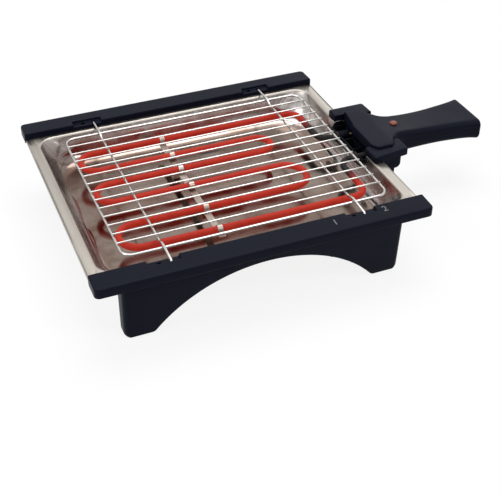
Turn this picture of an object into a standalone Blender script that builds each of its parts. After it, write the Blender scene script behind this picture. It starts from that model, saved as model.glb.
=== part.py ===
"""Tabletop electric grill, modelled at its real size.

Frame: metres, +Z up. X runs along the two rails, with the control handle at +X.
The front of the grill faces -Y. The origin is on the table, under the middle of
the whole grill. Pieces are drawn from the middle of the drip tray, with their
levels measured from the top of its rim, and one empty carries them all.
"""

from math import atan2, cos, pi, radians, sin, sqrt

import bmesh
import bpy
from mathutils import Matrix, Vector

# Clearances and construction values shared by every piece
GAP = 0.0003               # between two pieces that touch
RUNNING_GAP = 0.0006       # between two pieces that slide past each other
OVERRUN = 0.004            # how far a cutter reaches past the skin it cuts
MERGE = 0.000001           # weld distance
ARC_STEPS = 5              # straight steps in a rounded corner

# Overall
RIM_HEIGHT = 0.0800        # table to the top face of the tray's rim
PAD_SHOWS = 0.0008         # how far a rubber pad stands out under its foot

# Drip tray, drawn from one sheet
SHEET = 0.0008
TRAY_LENGTH = 0.3835
TRAY_WIDTH = 0.3350
TRAY_CORNER = 0.004
RIM_SIDE = 0.0125          # width of the rim at the left and right
RIM_FRONT = 0.0265         # width of the rim under each rail
PAN_LENGTH = TRAY_LENGTH - 2 * RIM_SIDE
PAN_WIDTH = TRAY_WIDTH - 2 * RIM_FRONT
PAN_CORNER = 0.020
PAN_DRAFT = 0.012          # how far the floor is drawn in from the mouth
PAN_DEPTH = 0.0340
PAN_LIP = 0.0020           # radius where the rim turns down into the pan
PAN_FLOOR_ROUND = 0.0060   # radius where the wall meets the floor
RIM_END = TRAY_LENGTH / 2  # the tray's right edge, where the control unit hangs over
NOTCH_DEPTH = 0.0160       # opening in the right wall for the terminal block
NOTCH_CLEARANCE = 0.0010

# Side rails
RAIL_END_LIP = 0.00165     # past the tray's edge at each end
RAIL_OVERHANG = 0.0072     # past the tray's edge along its length
RAIL_WIDTH = 0.0278
RAIL_LENGTH = TRAY_LENGTH + 2 * RAIL_END_LIP
RAIL_OUTER = TRAY_WIDTH / 2 + RAIL_OVERHANG
RAIL_INNER = RAIL_OUTER - RAIL_WIDTH
RAIL_TOP = 0.0088          # above the rim, at the inner edge
RAIL_FALL = 0.0009         # the top slopes down by this towards the outside
RAIL_LIP = 0.0035          # the outer wall hangs this far below the rim
RAIL_CORNER = 0.0060
RAIL_EDGE = 0.0017
RAIL_CORE_WALL = 0.0028
RAIL_CORE_HEIGHT = 0.0050

# Pockets in the rails that hold the rack
POCKET_END_ROOM = 0.0796   # end of the rail to the middle of its pocket
POCKET_CENTRE = RAIL_LENGTH / 2 - POCKET_END_ROOM
POCKET_LENGTH = 0.0356
POCKET_REACH = 0.0094      # into the rail from its inner face
POCKET_FLOOR = 0.0030      # above the rim
SLOT_LENGTH = 0.0044
SLOT_WIDTH = 0.0046
SLOT_FLOOR = 0.0006        # above the rim

# Legs
LEG_END_ROOM = 0.0301      # end of the rail to the leg's end
LEG_HALF = RAIL_LENGTH / 2 - LEG_END_ROOM
LEG_END_ROUND = 0.0063     # radius of the upright edges of the face
LEG_SET_BACK = 0.0099      # rail's outer face to the leg's face, at its top
LEG_LEAN = 0.0053          # how far the face leans in towards the foot
LEG_DEPTH = 0.0204
LEG_FACE_TOP = RAIL_OUTER - LEG_SET_BACK
LEG_FACE_BOTTOM = LEG_FACE_TOP - LEG_LEAN
LEG_BACK = LEG_FACE_TOP - LEG_DEPTH
LEG_WALL = 0.0030
LEG_CORNER = 0.0068
LEG_INNER_CORNER = 0.0035
LEG_EDGE = 0.0015
LEG_FOOT = 0.03345         # length of each foot at the table
ARCH_TOP = 0.0182          # below the rim
ARCH_HALF = LEG_HALF - LEG_FOOT
ARCH_RISE = RIM_HEIGHT - PAD_SHOWS - ARCH_TOP
ARCH_RADIUS = (ARCH_HALF ** 2 + ARCH_RISE ** 2) / (2 * ARCH_RISE)
SCREW_TO_POCKET = 0.0338   # middle of the pocket to the nearer rail screw
LEG_SCREW_REACH = POCKET_CENTRE - SCREW_TO_POCKET

# Rubber pads
PAD_LENGTH = 0.0130
PAD_WIDTH = 0.0080
PAD_SEAT = 0.0010          # depth of its recess

# Screws
SCREW_SHANK = 0.0030
SCREW_HEAD = 0.0056
SCREW_HEAD_HEIGHT = 0.0018
SCREW_CLEAR = 0.0003       # around a shank, all the way
SCREW_SIDES = 12
RAIL_SCREW_BITE = 0.0052   # into the rail, above the rim
BOSS_WALL = 0.0020

# Rack, welded from wire
RACK_SHIFT = 0.0067        # the slots in use hold it this far towards the handle
RING_WIRE = 0.0030
RING_END_ROOM = 0.02325    # ring to the pan's mouth, left and right
RING_SIDE_ROOM = 0.0160    # ring to the pan's mouth, front and back
RING_LENGTH = PAN_LENGTH - 2 * RING_END_ROOM
RING_WIDTH = PAN_WIDTH - 2 * RING_SIDE_ROOM
RING_CORNER = 0.0120
RING_LEVEL = 0.0028        # wire centre above the rim
ROD_WIRE = 0.0020
ROD_COUNT = 13
ROD_MARGIN = 0.02168       # ring to the first and last rod
ROD_PITCH = (RING_WIDTH - 2 * ROD_MARGIN) / (ROD_COUNT - 1)
ROD_OVERHANG = 0.0014      # past the ring's centre line
SUPPORT_WIRE = 0.0030
SUPPORT_INSET = 0.00165    # middle of the pocket to the middle of its two slots
SUPPORT_SPACING = 2 * (POCKET_CENTRE - SUPPORT_INSET)
SUPPORT_DIP = 0.0140       # length over which it climbs the ring
SUPPORT_TIP = 0.0013       # tip above the rim
WIRE_BEND = 0.0024
BEND_TURNS = (0, 30, 60, 90)

# Terminal block
BLOCK_REACH = 0.01675      # over the pan, from the tray's right edge
BLOCK_FACE = RIM_END - BLOCK_REACH
BLOCK_TOP = 0.0024         # below the rim
BLOCK_BOTTOM = 0.0195
BLOCK_EDGE = 0.0008
BLOCK_RIB = 0.0016
BLOCK_RIB_HEIGHT = 0.0026
BLOCK_RIB_FRONT = 0.0145   # the two middle ribs, from the block's middle
BLOCK_RIB_BACK = 0.0095
BLOCK_END_WALL = 0.0024
COLLAR_LENGTH = 0.0040
COLLAR_WALL = 0.0022
PIN_SIZE = 0.0032
PIN_LENGTH = 0.0120

# Heating element
TUBE = 0.0080
ELEMENT_LEVEL = 0.0090     # tube centre below the rim
RUN_ROOM = 0.0240          # ring to the outer runs
RUN_REACH = RING_WIDTH / 2 - RUN_ROOM
RUN_SHARES = [-1, -0.5644, -0.0891, 0.2871, 0.6040, 1]
RUN_PLACES = [RUN_REACH * share for share in RUN_SHARES]
LEFT_BEND_ROOM = 0.03825   # bends to the pan's mouth
FRONT_BEND_ROOM = 0.07725
BACK_BEND_ROOM = 0.08925
LEFT_BEND_END = LEFT_BEND_ROOM - PAN_LENGTH / 2
RIGHT_BEND_ENDS = [PAN_LENGTH / 2 - FRONT_BEND_ROOM, PAN_LENGTH / 2 - BACK_BEND_ROOM]
COLD_END_RUN = 0.0250      # straight length between the block and the turn to an outer run
COLD_END_PLACE = BLOCK_FACE - COLD_END_RUN
COLD_END_BEND = 0.0160
COLD_END_SPREAD = 0.0260   # each cold end, from the middle
COLD_END_SINK = 0.0136     # how far its tip stands in the block
COLD_END_TIP = BLOCK_FACE + COLD_END_SINK
BEND_STEPS = 8

# Strip that holds the runs level
STRIP_LEFT = 0.0330        # from the middle of the tray to the strip
STRIP_PLACE = -STRIP_LEFT
STRIP_WIDTH = 0.0080
STRIP_SHEET = 0.0010
STRIP_END = 0.0090         # past the outer runs
STRIP_FOOT_SHARES = [-0.3267, 0.4455]
STRIP_FOOT_LENGTH = 0.0100
CLIP_WIDTH = 0.0060
CLIP_SHEET = 0.0008
CLIP_SIDES = 14

# Control unit: a box over the rim that runs out into the handle
BOX_REACH = 0.00495        # over the rim, from its edge
BOX_PAST_RIM = 0.02125     # outside the rim
BOX_FACE = RIM_END - BOX_REACH
BOX_END = RIM_END + BOX_PAST_RIM
BOX_HALF_WIDTH = 0.0460
BOX_TOP = 0.0122           # above the rim
BOX_BOTTOM = 0.0205        # below the rim, outside the tray
BOX_CORNER = 0.0050
BOX_EDGE = 0.0018
RIM_CLEARANCE = 0.0010     # box to the tray's outer edge
SPLIT_LEVEL = 0.0040       # the two shells part this far below the rim
SHELL = 0.0025
HANDLE_LENGTH = 0.1334     # past the box
HANDLE_END = BOX_END + HANDLE_LENGTH
HANDLE_ROUND = 0.0068
HANDLE_END_ROUND = 0.0045
HANDLE_END_DRAW = 0.8      # the end's rounding is this much narrower than it is long

# Sections of the handle. Each row gives its place as a share of the handle's length, then
# its half width, top and bottom as shares of those of the box.
HANDLE_SECTIONS = [
    (-0.0600, 0.9826, 0.9918, 0.8976),
    (0.0000, 0.9348, 0.9836, 0.9073),
    (0.0562, 0.6913, 0.9180, 0.9122),
    (0.1349, 0.5609, 0.8115, 0.9171),
    (0.2399, 0.5261, 0.6967, 0.9171),
    (0.3673, 0.5283, 0.6148, 0.8927),
    (0.5622, 0.5500, 0.5574, 0.8585),
    (0.7571, 0.6087, 0.5574, 0.8488),
    (0.9145, 0.6674, 0.5820, 0.8927),
    (0.9663, 0.7022, 0.5984, 0.9366),
]
HANDLE_STATIONS = [BOX_END + HANDLE_LENGTH * row[0] for row in HANDLE_SECTIONS]
HANDLE_HALF_WIDTHS = [BOX_HALF_WIDTH * row[1] for row in HANDLE_SECTIONS]
HANDLE_TOPS = [BOX_TOP * row[2] for row in HANDLE_SECTIONS]
HANDLE_BOTTOMS = [BOX_BOTTOM * row[3] for row in HANDLE_SECTIONS]

# Screws that close the two shells
BOX_SCREW_OUT = 0.01425    # past the tray's edge
BOX_SCREW_PLACE = RIM_END + BOX_SCREW_OUT
BOX_SCREW_ROOM = 0.0090    # to the side of the box
BOX_SCREW_SPREAD = BOX_HALF_WIDTH - BOX_SCREW_ROOM
HANDLE_SCREW_SHARES = [0.3673, 0.8246]
HANDLE_SCREW_PLACES = [BOX_END + HANDLE_LENGTH * share for share in HANDLE_SCREW_SHARES]

# The terminal block fits between the walls of the box, and the notch leaves it free
BLOCK_TO_BOX_SIDE = 0.0055
BLOCK_HALF_WIDTH = BOX_HALF_WIDTH - BLOCK_TO_BOX_SIDE
NOTCH_WIDTH = 2 * (BLOCK_HALF_WIDTH + NOTCH_CLEARANCE)

# Holder on the tray's right rim
HOLDER_TOP = 0.0092        # above the rim
HOLDER_INWARD = 0.01675    # over the pan, from the tray's right edge
HOLDER_OUTWARD = 0.03585
HOLDER_START = RIM_END - HOLDER_INWARD
HOLDER_END = RIM_END + HOLDER_OUTWARD
HOLDER_ARM = 0.0166        # beside the box
HOLDER_HALF_WIDTH = BOX_HALF_WIDTH + HOLDER_ARM
HOLDER_EDGE = 0.0022
HOLDER_CORNER = 0.0050
CRADLE_WALL = 0.0090       # beside the box
CRADLE_HALF_WIDTH = BOX_HALF_WIDTH + CRADLE_WALL
CRADLE_STEP = 0.0152       # depth of its wide upper part below the rim
CRADLE_OUTWARD = 0.02585
CRADLE_LOWER_OUTWARD = 0.01825
CRADLE_REACH = RIM_END + CRADLE_OUTWARD
CRADLE_LOWER_REACH = RIM_END + CRADLE_LOWER_OUTWARD
CRADLE_UNDER = 0.0045      # below the box
CRADLE_BOTTOM = BOX_BOTTOM + CRADLE_UNDER
CRADLE_FLOOR = 0.0030
CRADLE_CORNER = 0.0050
HOLDER_SCREW_INWARD = 0.00555
HOLDER_SCREW_PLACE = RIM_END - HOLDER_SCREW_INWARD
HOLDER_SCREW_SPREAD = BOX_HALF_WIDTH + CRADLE_WALL

# Parts inside and on the control unit
LENS_SHARE = 0.1837        # along the handle
LENS_PLACE = BOX_END + HANDLE_LENGTH * LENS_SHARE
LENS_SIZE = 0.0094
LENS_RIM = 0.0014
LENS_DOME = 0.0012
LENS_STEM = 0.0064
LAMP_SIZE = 0.0048
LAMP_LENGTH = 0.0070
SWITCH_OUT = 0.01125       # past the tray's edge
SWITCH_PLACE = RIM_END + SWITCH_OUT
SWITCH_SPREAD = 0.0115
SWITCH_LENGTH = 0.0200
SWITCH_WIDTH = 0.0064
SWITCH_HEIGHT = 0.0102
BUTTON_SIZE = 0.0032
BUTTON_TRAVEL = 0.0010
CUTOUT_SIZE = 0.0138
CUTOUT_HEIGHT = 0.0060
CUTOUT_SPREAD = 0.0170
GLAND_LEVEL = 0.0060
GLAND_SIZE = 0.0110
GLAND_FLANGE = 0.0150
GLAND_BORE = 0.0066
GLAND_SHOWS = 0.0012
CLAMP_SHARE = 0.6822       # along the handle
CLAMP_PLACE = BOX_END + HANDLE_LENGTH * CLAMP_SHARE
CLAMP_LENGTH = 0.0080
CLAMP_WIDTH = 0.0180
CLAMP_HEIGHT = 0.0034
CLAMP_POST = 0.0060

COLLECTION = "electric_grill"


def level(height):
    """Height above the table of a level measured from the tray's rim."""
    return RIM_HEIGHT + height


def collection(name):
    found = bpy.data.collections.get(name)
    if found is None:
        found = bpy.data.collections.new(name)
        bpy.context.scene.collection.children.link(found)
    return found


def put_in(obj, name):
    for old in list(obj.users_collection):
        old.objects.unlink(obj)
    collection(name).objects.link(obj)
    return obj


def material(name, colour, roughness, metallic=0.0):
    """A plain Principled material, made once for each part."""
    made = bpy.data.materials.new(name)
    made.use_nodes = True
    shader = made.node_tree.nodes["Principled BSDF"]
    shader.inputs["Base Color"].default_value = (*colour, 1.0)
    shader.inputs["Roughness"].default_value = roughness
    shader.inputs["Metallic"].default_value = metallic
    return made


PLASTIC = ((0.016, 0.017, 0.024), 0.42, 0.0)
STEEL = ((0.56, 0.53, 0.49), 0.28, 1.0)
CHROME = ((0.78, 0.77, 0.76), 0.12, 1.0)
HOT_TUBE = ((0.55, 0.07, 0.04), 0.55, 0.0)
RUBBER = ((0.02, 0.02, 0.02), 0.85, 0.0)
ZINC = ((0.55, 0.56, 0.58), 0.35, 1.0)
RESIN = ((0.012, 0.012, 0.014), 0.6, 0.0)
LENS_RED = ((0.62, 0.08, 0.03), 0.25, 0.0)
GLASS = ((0.85, 0.55, 0.35), 0.15, 0.0)


def as_part(obj, finish, smooth=True):
    """Moves an object to the part's collection and gives it its own material."""
    put_in(obj, COLLECTION)
    obj.data.materials.clear()
    obj.data.materials.append(material(obj.name, *finish))
    if smooth:
        obj.data.shade_smooth()
        obj.data.set_sharp_from_angle(angle=radians(35))
    return obj


def as_cutter(obj):
    put_in(obj, COLLECTION + "_cutters")
    obj.hide_render = True
    obj.display_type = "WIRE"
    return obj


def mesh_object(name, shape):
    data = bpy.data.meshes.new(name)
    shape.to_mesh(data)
    shape.free()
    obj = bpy.data.objects.new(name, data)
    bpy.context.scene.collection.objects.link(obj)
    return obj


def box(name, low, high):
    """A rectangular block between two corners."""
    low, high = Vector(low), Vector(high)
    shape = bmesh.new()
    place = Matrix.Translation((low + high) / 2) @ Matrix.Diagonal((*(high - low), 1))
    bmesh.ops.create_cube(shape, size=1, matrix=place)
    return mesh_object(name, shape)


def cylinder(name, foot, direction, radius, length, sides=16):
    """A round bar that starts at foot and runs along direction."""
    direction = Vector(direction).normalized()
    turn = Vector((0, 0, 1)).rotation_difference(direction).to_matrix().to_4x4()
    place = Matrix.Translation(Vector(foot) + direction * length / 2) @ turn
    shape = bmesh.new()
    bmesh.ops.create_cone(
        shape, cap_ends=True, segments=sides, radius1=radius, radius2=radius,
        depth=length, matrix=place,
    )
    return mesh_object(name, shape)


def from_curve(obj):
    """Turns a curve object into a closed mesh object with welded caps."""
    bpy.context.view_layer.update()
    depsgraph = bpy.context.evaluated_depsgraph_get()
    data = bpy.data.meshes.new_from_object(obj.evaluated_get(depsgraph))
    shape = bmesh.new()
    shape.from_mesh(data)
    bmesh.ops.remove_doubles(shape, verts=shape.verts, dist=MERGE)
    shape.to_mesh(data)
    shape.free()
    name = obj.name
    place = obj.matrix_world.copy()
    bpy.data.objects.remove(obj)
    made = bpy.data.objects.new(name, data)
    bpy.context.scene.collection.objects.link(made)
    made.matrix_world = place
    return made


def wire(name, points, diameter, closed=False, fine=2):
    """A round wire or tube along a list of points."""
    curve = bpy.data.curves.new(name, "CURVE")
    curve.dimensions = "3D"
    curve.bevel_depth = diameter / 2
    curve.bevel_resolution = fine
    curve.use_fill_caps = not closed
    spline = curve.splines.new("POLY")
    spline.points.add(len(points) - 1)
    for point, place in zip(spline.points, points):
        point.co = (*place, 1)
    spline.use_cyclic_u = closed
    obj = bpy.data.objects.new(name, curve)
    bpy.context.scene.collection.objects.link(obj)
    return from_curve(obj)


def flat(name, outline, bottom, top):
    """A flat outline in X and Y, filled and raised between two heights."""
    curve = bpy.data.curves.new(name, "CURVE")
    curve.dimensions = "2D"
    curve.fill_mode = "BOTH"
    curve.extrude = (top - bottom) / 2
    spline = curve.splines.new("POLY")
    spline.points.add(len(outline) - 1)
    for point, place in zip(spline.points, outline):
        point.co = (place[0], place[1], 0, 1)
    spline.use_cyclic_u = True
    obj = bpy.data.objects.new(name, curve)
    bpy.context.scene.collection.objects.link(obj)
    obj.location.z = (top + bottom) / 2
    made = from_curve(obj)
    made.data.transform(made.matrix_world)
    made.matrix_world = Matrix.Identity(4)
    return made


def loft(name, rings):
    """A closed skin over rings of equal count, with a flat cap at each end."""
    shape = bmesh.new()
    loops = [[shape.verts.new(point) for point in ring] for ring in rings]
    for near, far in zip(loops, loops[1:]):
        for i, vert in enumerate(near):
            j = (i + 1) % len(near)
            shape.faces.new((vert, near[j], far[j], far[i]))
    shape.faces.new(list(reversed(loops[0])))
    shape.faces.new(loops[-1])
    bmesh.ops.recalc_face_normals(shape, faces=shape.faces)
    return mesh_object(name, shape)


def turned(name, profile, centre, steps=24):
    """A round piece from (radius, height) points, top to bottom, both ends on the axis."""
    shape = bmesh.new()
    verts = [shape.verts.new((radius, 0, height)) for radius, height in profile]
    for first, second in zip(verts, verts[1:]):
        shape.edges.new((first, second))
    obj = mesh_object(name, shape)
    screw = obj.modifiers.new("turn", "SCREW")
    screw.angle = 2 * pi
    screw.steps = steps
    screw.render_steps = steps
    screw.use_merge_vertices = True
    screw.merge_threshold = MERGE
    obj.location = centre
    return obj


def apply_modifiers(obj):
    """Bakes the modifiers and the place of an object into its mesh."""
    bpy.context.view_layer.update()
    depsgraph = bpy.context.evaluated_depsgraph_get()
    data = bpy.data.meshes.new_from_object(obj.evaluated_get(depsgraph))
    data.transform(obj.matrix_world)
    obj.modifiers.clear()
    obj.data = data
    obj.matrix_world = Matrix.Identity(4)
    return obj


def boolean(obj, other, operation):
    tool = obj.modifiers.new(operation.lower(), "BOOLEAN")
    tool.operation = operation
    tool.solver = "EXACT"
    tool.object = as_cutter(other)
    return obj


def cut(obj, *others):
    for other in others:
        boolean(obj, other, "DIFFERENCE")
    return obj


def join(obj, *others):
    for other in others:
        boolean(obj, other, "UNION")
    return obj


def bevel(obj, width, segments=2, angle=30):
    rounding = obj.modifiers.new("rounded edges", "BEVEL")
    rounding.width = width
    rounding.segments = segments
    rounding.limit_method = "ANGLE"
    rounding.angle_limit = radians(angle)
    return obj


def arc(centre, radius, start, end, steps=ARC_STEPS):
    """Points on a circle from one angle to another, in degrees."""
    points = []
    for i in range(steps + 1):
        angle = radians(start + (end - start) * i / steps)
        points.append((centre[0] + radius * cos(angle), centre[1] + radius * sin(angle)))
    return points


def rounded_rectangle(x_low, x_high, y_low, y_high, radius, steps=ARC_STEPS):
    """Corner arcs of a rectangle, counterclockwise from its lower left corner."""
    r = radius
    return (
        arc((x_low + r, y_low + r), r, 180, 270, steps)
        + arc((x_high - r, y_low + r), r, 270, 360, steps)
        + arc((x_high - r, y_high - r), r, 0, 90, steps)
        + arc((x_low + r, y_high - r), r, 90, 180, steps)
    )


def centred_ring(length, width, radius, height):
    outline = rounded_rectangle(-length / 2, length / 2, -width / 2, width / 2, radius)
    return [(x, y, height) for x, y in outline]


def screw(name, seat, direction, length):
    """A pan head screw: its head rests on seat, its shank runs along direction."""
    direction = Vector(direction).normalized()
    seat = Vector(seat)
    head = cylinder(
        name, seat - direction * SCREW_HEAD_HEIGHT, direction,
        SCREW_HEAD / 2, SCREW_HEAD_HEIGHT, SCREW_SIDES,
    )
    shank = cylinder(
        name + "_shank", seat - direction * SCREW_HEAD_HEIGHT / 2, direction,
        SCREW_SHANK / 2, length + SCREW_HEAD_HEIGHT / 2, SCREW_SIDES,
    )
    return as_part(join(head, shank), ZINC)


def screw_hole(name, foot, direction, length, radius=SCREW_SHANK / 2 + SCREW_CLEAR):
    return cylinder(name, foot, direction, radius, length, SCREW_SIDES)


def pan_ring(drop, draft, out, corner):
    """One ring of the pan's wall: drawn in by draft and moved out by out."""
    grow = 2 * (out - draft)
    return centred_ring(PAN_LENGTH + grow, PAN_WIDTH + grow, corner + out, level(-drop))


def tray():
    """Rim and pan in one sheet: the skin runs up the outside and down the inside."""
    wall_fall = PAN_DEPTH - PAN_FLOOR_ROUND
    floor_in = PAN_DRAFT + PAN_FLOOR_ROUND
    floor_mid = PAN_FLOOR_ROUND / 4
    lip_in = PAN_LIP * PAN_DRAFT / PAN_DEPTH
    rings = [
        pan_ring(PAN_DEPTH + SHEET, floor_in, SHEET / 2, PAN_CORNER),
        pan_ring(wall_fall + SHEET, PAN_DRAFT, SHEET, PAN_CORNER),
        pan_ring(PAN_LIP + SHEET, lip_in, SHEET, PAN_CORNER),
        pan_ring(SHEET, 0, PAN_LIP / 2 + SHEET, PAN_CORNER),
        centred_ring(TRAY_LENGTH, TRAY_WIDTH, TRAY_CORNER, level(-SHEET)),
        centred_ring(TRAY_LENGTH, TRAY_WIDTH, TRAY_CORNER, level(0)),
        pan_ring(0, 0, PAN_LIP, PAN_CORNER),
        pan_ring(PAN_LIP * (1 - cos(pi / 4)), 0, PAN_LIP * (1 - sin(pi / 4)), PAN_CORNER),
        pan_ring(PAN_LIP, lip_in, 0, PAN_CORNER),
        pan_ring(wall_fall, PAN_DRAFT, 0, PAN_CORNER),
        pan_ring(PAN_DEPTH - floor_mid, PAN_DRAFT + floor_mid, 0, PAN_CORNER),
        pan_ring(PAN_DEPTH, floor_in, 0, PAN_CORNER),
    ]
    obj = loft("tray", rings)
    notch_start = PAN_LENGTH / 2 - PAN_DRAFT
    notch = box(
        "tray_notch",
        (notch_start, -NOTCH_WIDTH / 2, level(-NOTCH_DEPTH)),
        (RIM_END + OVERRUN, NOTCH_WIDTH / 2, level(OVERRUN)),
    )
    cut(obj, notch)
    for side in (-1, 1):
        for place in rail_screw_places():
            y = side * rail_screw_line()
            cut(obj, screw_hole("tray_hole", (place, y, level(-OVERRUN)), (0, 0, 1), 2 * OVERRUN))
        spot = (HOLDER_SCREW_PLACE, side * HOLDER_SCREW_SPREAD, level(-OVERRUN))
        cut(obj, screw_hole("tray_hole", spot, (0, 0, 1), 2 * OVERRUN))
    return as_part(obj, STEEL)


def rail_screw_line():
    """Distance from the middle of the tray to the line of the rail screws."""
    return (LEG_BACK + LEG_FACE_TOP) / 2


def rail_screw_places():
    return (-LEG_SCREW_REACH, 0, LEG_SCREW_REACH)


def rail(name, side):
    """One rail, drawn for the back and turned to the front by side."""
    outline = rounded_rectangle(
        -RAIL_LENGTH / 2, RAIL_LENGTH / 2, RAIL_INNER, RAIL_OUTER, RAIL_CORNER
    )
    obj = flat(name, outline, level(-RAIL_LIP), level(RAIL_TOP))
    middle = level(0)
    for vert in obj.data.vertices:
        if vert.co.z > middle:
            share = (vert.co.y - RAIL_INNER) / (RAIL_OUTER - RAIL_INNER)
            vert.co.z -= share * RAIL_FALL
    bevel(obj, RAIL_EDGE, 2, 50)
    rim_end = TRAY_LENGTH / 2 + GAP
    rim_side = TRAY_WIDTH / 2 + GAP
    seat = box(
        "rail_seat",
        (-rim_end, RAIL_INNER - OVERRUN, level(-RAIL_LIP - OVERRUN)),
        (rim_end, rim_side, level(GAP)),
    )
    cut(obj, seat)
    core_low = RAIL_INNER + RAIL_CORE_WALL
    pocket_low = POCKET_CENTRE - POCKET_LENGTH / 2 - RAIL_CORE_WALL
    pocket_high = POCKET_CENTRE + POCKET_LENGTH / 2 + RAIL_CORE_WALL
    boss = SCREW_SHANK / 2 + BOSS_WALL
    cores = [
        (boss, LEG_SCREW_REACH - boss),
        (pocket_high, RAIL_LENGTH / 2 - RAIL_CORE_WALL),
    ]
    for start, end in cores:
        for hand in (-1, 1):
            low_x, high_x = sorted((hand * start, hand * end))
            core = box(
                "rail_core",
                (low_x, core_low, level(-OVERRUN)),
                (high_x, rim_side, level(RAIL_CORE_HEIGHT)),
            )
            cut(obj, core)
    for hand in (-1, 1):
        centre = hand * POCKET_CENTRE
        pocket = box(
            "rail_pocket",
            (centre - POCKET_LENGTH / 2, RAIL_INNER - OVERRUN, level(POCKET_FLOOR)),
            (centre + POCKET_LENGTH / 2, RAIL_INNER + POCKET_REACH, level(RAIL_TOP + OVERRUN)),
        )
        cut(obj, pocket)
        for shift in (-RACK_SHIFT, RACK_SHIFT):
            x = hand * SUPPORT_SPACING / 2 + shift
            slot = box(
                "rail_slot",
                (x - SLOT_LENGTH / 2, slot_line() - SLOT_WIDTH / 2, level(SLOT_FLOOR)),
                (x + SLOT_LENGTH / 2, slot_line() + SLOT_WIDTH / 2, level(RAIL_TOP)),
            )
            cut(obj, slot)
    for place in rail_screw_places():
        foot = (place, rail_screw_line(), level(-OVERRUN))
        cut(obj, screw_hole("rail_hole", foot, (0, 0, 1), OVERRUN + RAIL_SCREW_BITE + GAP))
    apply_modifiers(obj)
    if side < 0:
        obj.data.transform(Matrix.Rotation(pi, 4, "Z"))
    return as_part(obj, PLASTIC)


def slot_line():
    """Distance from the middle of the tray to the middle of the rack slots."""
    return RAIL_INNER + POCKET_REACH - SLOT_WIDTH / 2 - RAIL_CORE_WALL / 2


def leg_outline(inset, end_inset):
    """Half of the leg seen from the front, at +X: points with their share of the end's rounding."""
    bottom = -RIM_HEIGHT + PAD_SHOWS + inset
    top = -SHEET - 2 * GAP - max(inset - LEG_EDGE, 0)
    radius = ARCH_RADIUS + inset
    centre = -ARCH_TOP - ARCH_RADIUS
    chamfer = bottom + LEG_INNER_CORNER
    foot_in = sqrt(radius ** 2 - (chamfer - centre) ** 2)
    sweep = atan2(foot_in, chamfer - centre)
    points = []
    steps = 4 * ARC_STEPS
    for i in range(steps + 1):
        angle = sweep * i / steps
        points.append((radius * sin(angle), centre + radius * cos(angle), 0))
    points.append((foot_in + LEG_INNER_CORNER, bottom, 0))
    half = LEG_HALF - end_inset
    across, rise = LEG_CORNER - min(end_inset, LEG_END_ROUND), LEG_CORNER - min(inset, LEG_EDGE)
    for i in range(ARC_STEPS + 1):
        angle = pi / 2 * i / ARC_STEPS
        x = half - across + across * sin(angle)
        points.append((x, bottom + rise - rise * cos(angle), sin(angle)))
    points.append((half, top, 1))
    return points


def leg_rings(wall, back):
    """Rings from the leg's face to its back; wall moves the whole skin inwards."""
    rings = []
    for angle in (0, pi / 6, pi / 3, pi / 2):
        inset = wall + max(LEG_EDGE - wall, MERGE) * (1 - sin(angle))
        end_inset = wall + max(LEG_END_ROUND - wall, MERGE) * (1 - sin(angle))
        half = leg_outline(inset, end_inset)
        ring = half + [(-x, z, share) for x, z, share in reversed(half) if x > 0]
        points = []
        for x, z, share in ring:
            drop = -z / RIM_HEIGHT
            face = LEG_FACE_TOP + (LEG_FACE_BOTTOM - LEG_FACE_TOP) * drop
            rounding = LEG_EDGE + (LEG_END_ROUND - LEG_EDGE) * share
            depth = wall + max(rounding - wall, MERGE) * (1 - cos(angle))
            points.append((x, face - depth, level(z)))
        rings.append(points)
    rings.append([(x, back, z) for x, y, z in rings[-1]])
    return rings


def leg(name, side):
    """An arched panel, open at its back, drawn for the back of the grill."""
    obj = loft(name, leg_rings(0, LEG_BACK))
    cut(obj, loft("leg_hollow", leg_rings(LEG_WALL, LEG_BACK - OVERRUN)))
    for place in rail_screw_places():
        y = rail_screw_line()
        cut(obj, screw_hole("leg_hole", (place, y, level(-LEG_WALL * 2)), (0, 0, 1), LEG_WALL * 2))
        reach = ARCH_RADIUS - sqrt(ARCH_RADIUS ** 2 - place ** 2)
        foot = (place, y, level(-ARCH_TOP - reach - LEG_WALL))
        access = SCREW_HEAD / 2 + SCREW_CLEAR
        cut(obj, screw_hole("leg_access", foot, (0, 0, 1), reach + LEG_WALL * 2, access))
    for hand in (-1, 1):
        recess = pad_box("pad_recess", hand, GAP, PAD_SEAT, OVERRUN)
        cut(obj, recess)
    apply_modifiers(obj)
    if side < 0:
        obj.data.transform(Matrix.Rotation(pi, 4, "Z"))
    return as_part(obj, PLASTIC)


def pad_box(name, hand, spread, depth, below):
    """The space of one pad: hand is the end of the leg, depth goes up into the foot."""
    foot_low = leg_outline(0, 0)[4 * ARC_STEPS + 1][0]
    foot_high = LEG_HALF - LEG_CORNER
    x = hand * (foot_low + foot_high) / 2
    y = (LEG_BACK + LEG_FACE_BOTTOM) / 2
    foot = PAD_SHOWS
    return box(
        name,
        (x - PAD_LENGTH / 2 - spread, y - PAD_WIDTH / 2 - spread, foot - below),
        (x + PAD_LENGTH / 2 + spread, y + PAD_WIDTH / 2 + spread, foot + depth),
    )


def pad(name, hand, side):
    obj = pad_box(name, hand * side, 0, PAD_SEAT - GAP, PAD_SHOWS)
    if side < 0:
        obj.data.transform(Matrix.Rotation(pi, 4, "Z"))
    return as_part(obj, RUBBER)


def rail_screws(name, side):
    seat = -SHEET - 2 * GAP - LEG_WALL - GAP
    for word, place in zip(("left", "middle", "right"), rail_screw_places()):
        spot = (place, side * rail_screw_line(), level(seat))
        screw(f"{name}_screw_{word}", spot, (0, 0, 1), RAIL_SCREW_BITE - seat)


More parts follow.
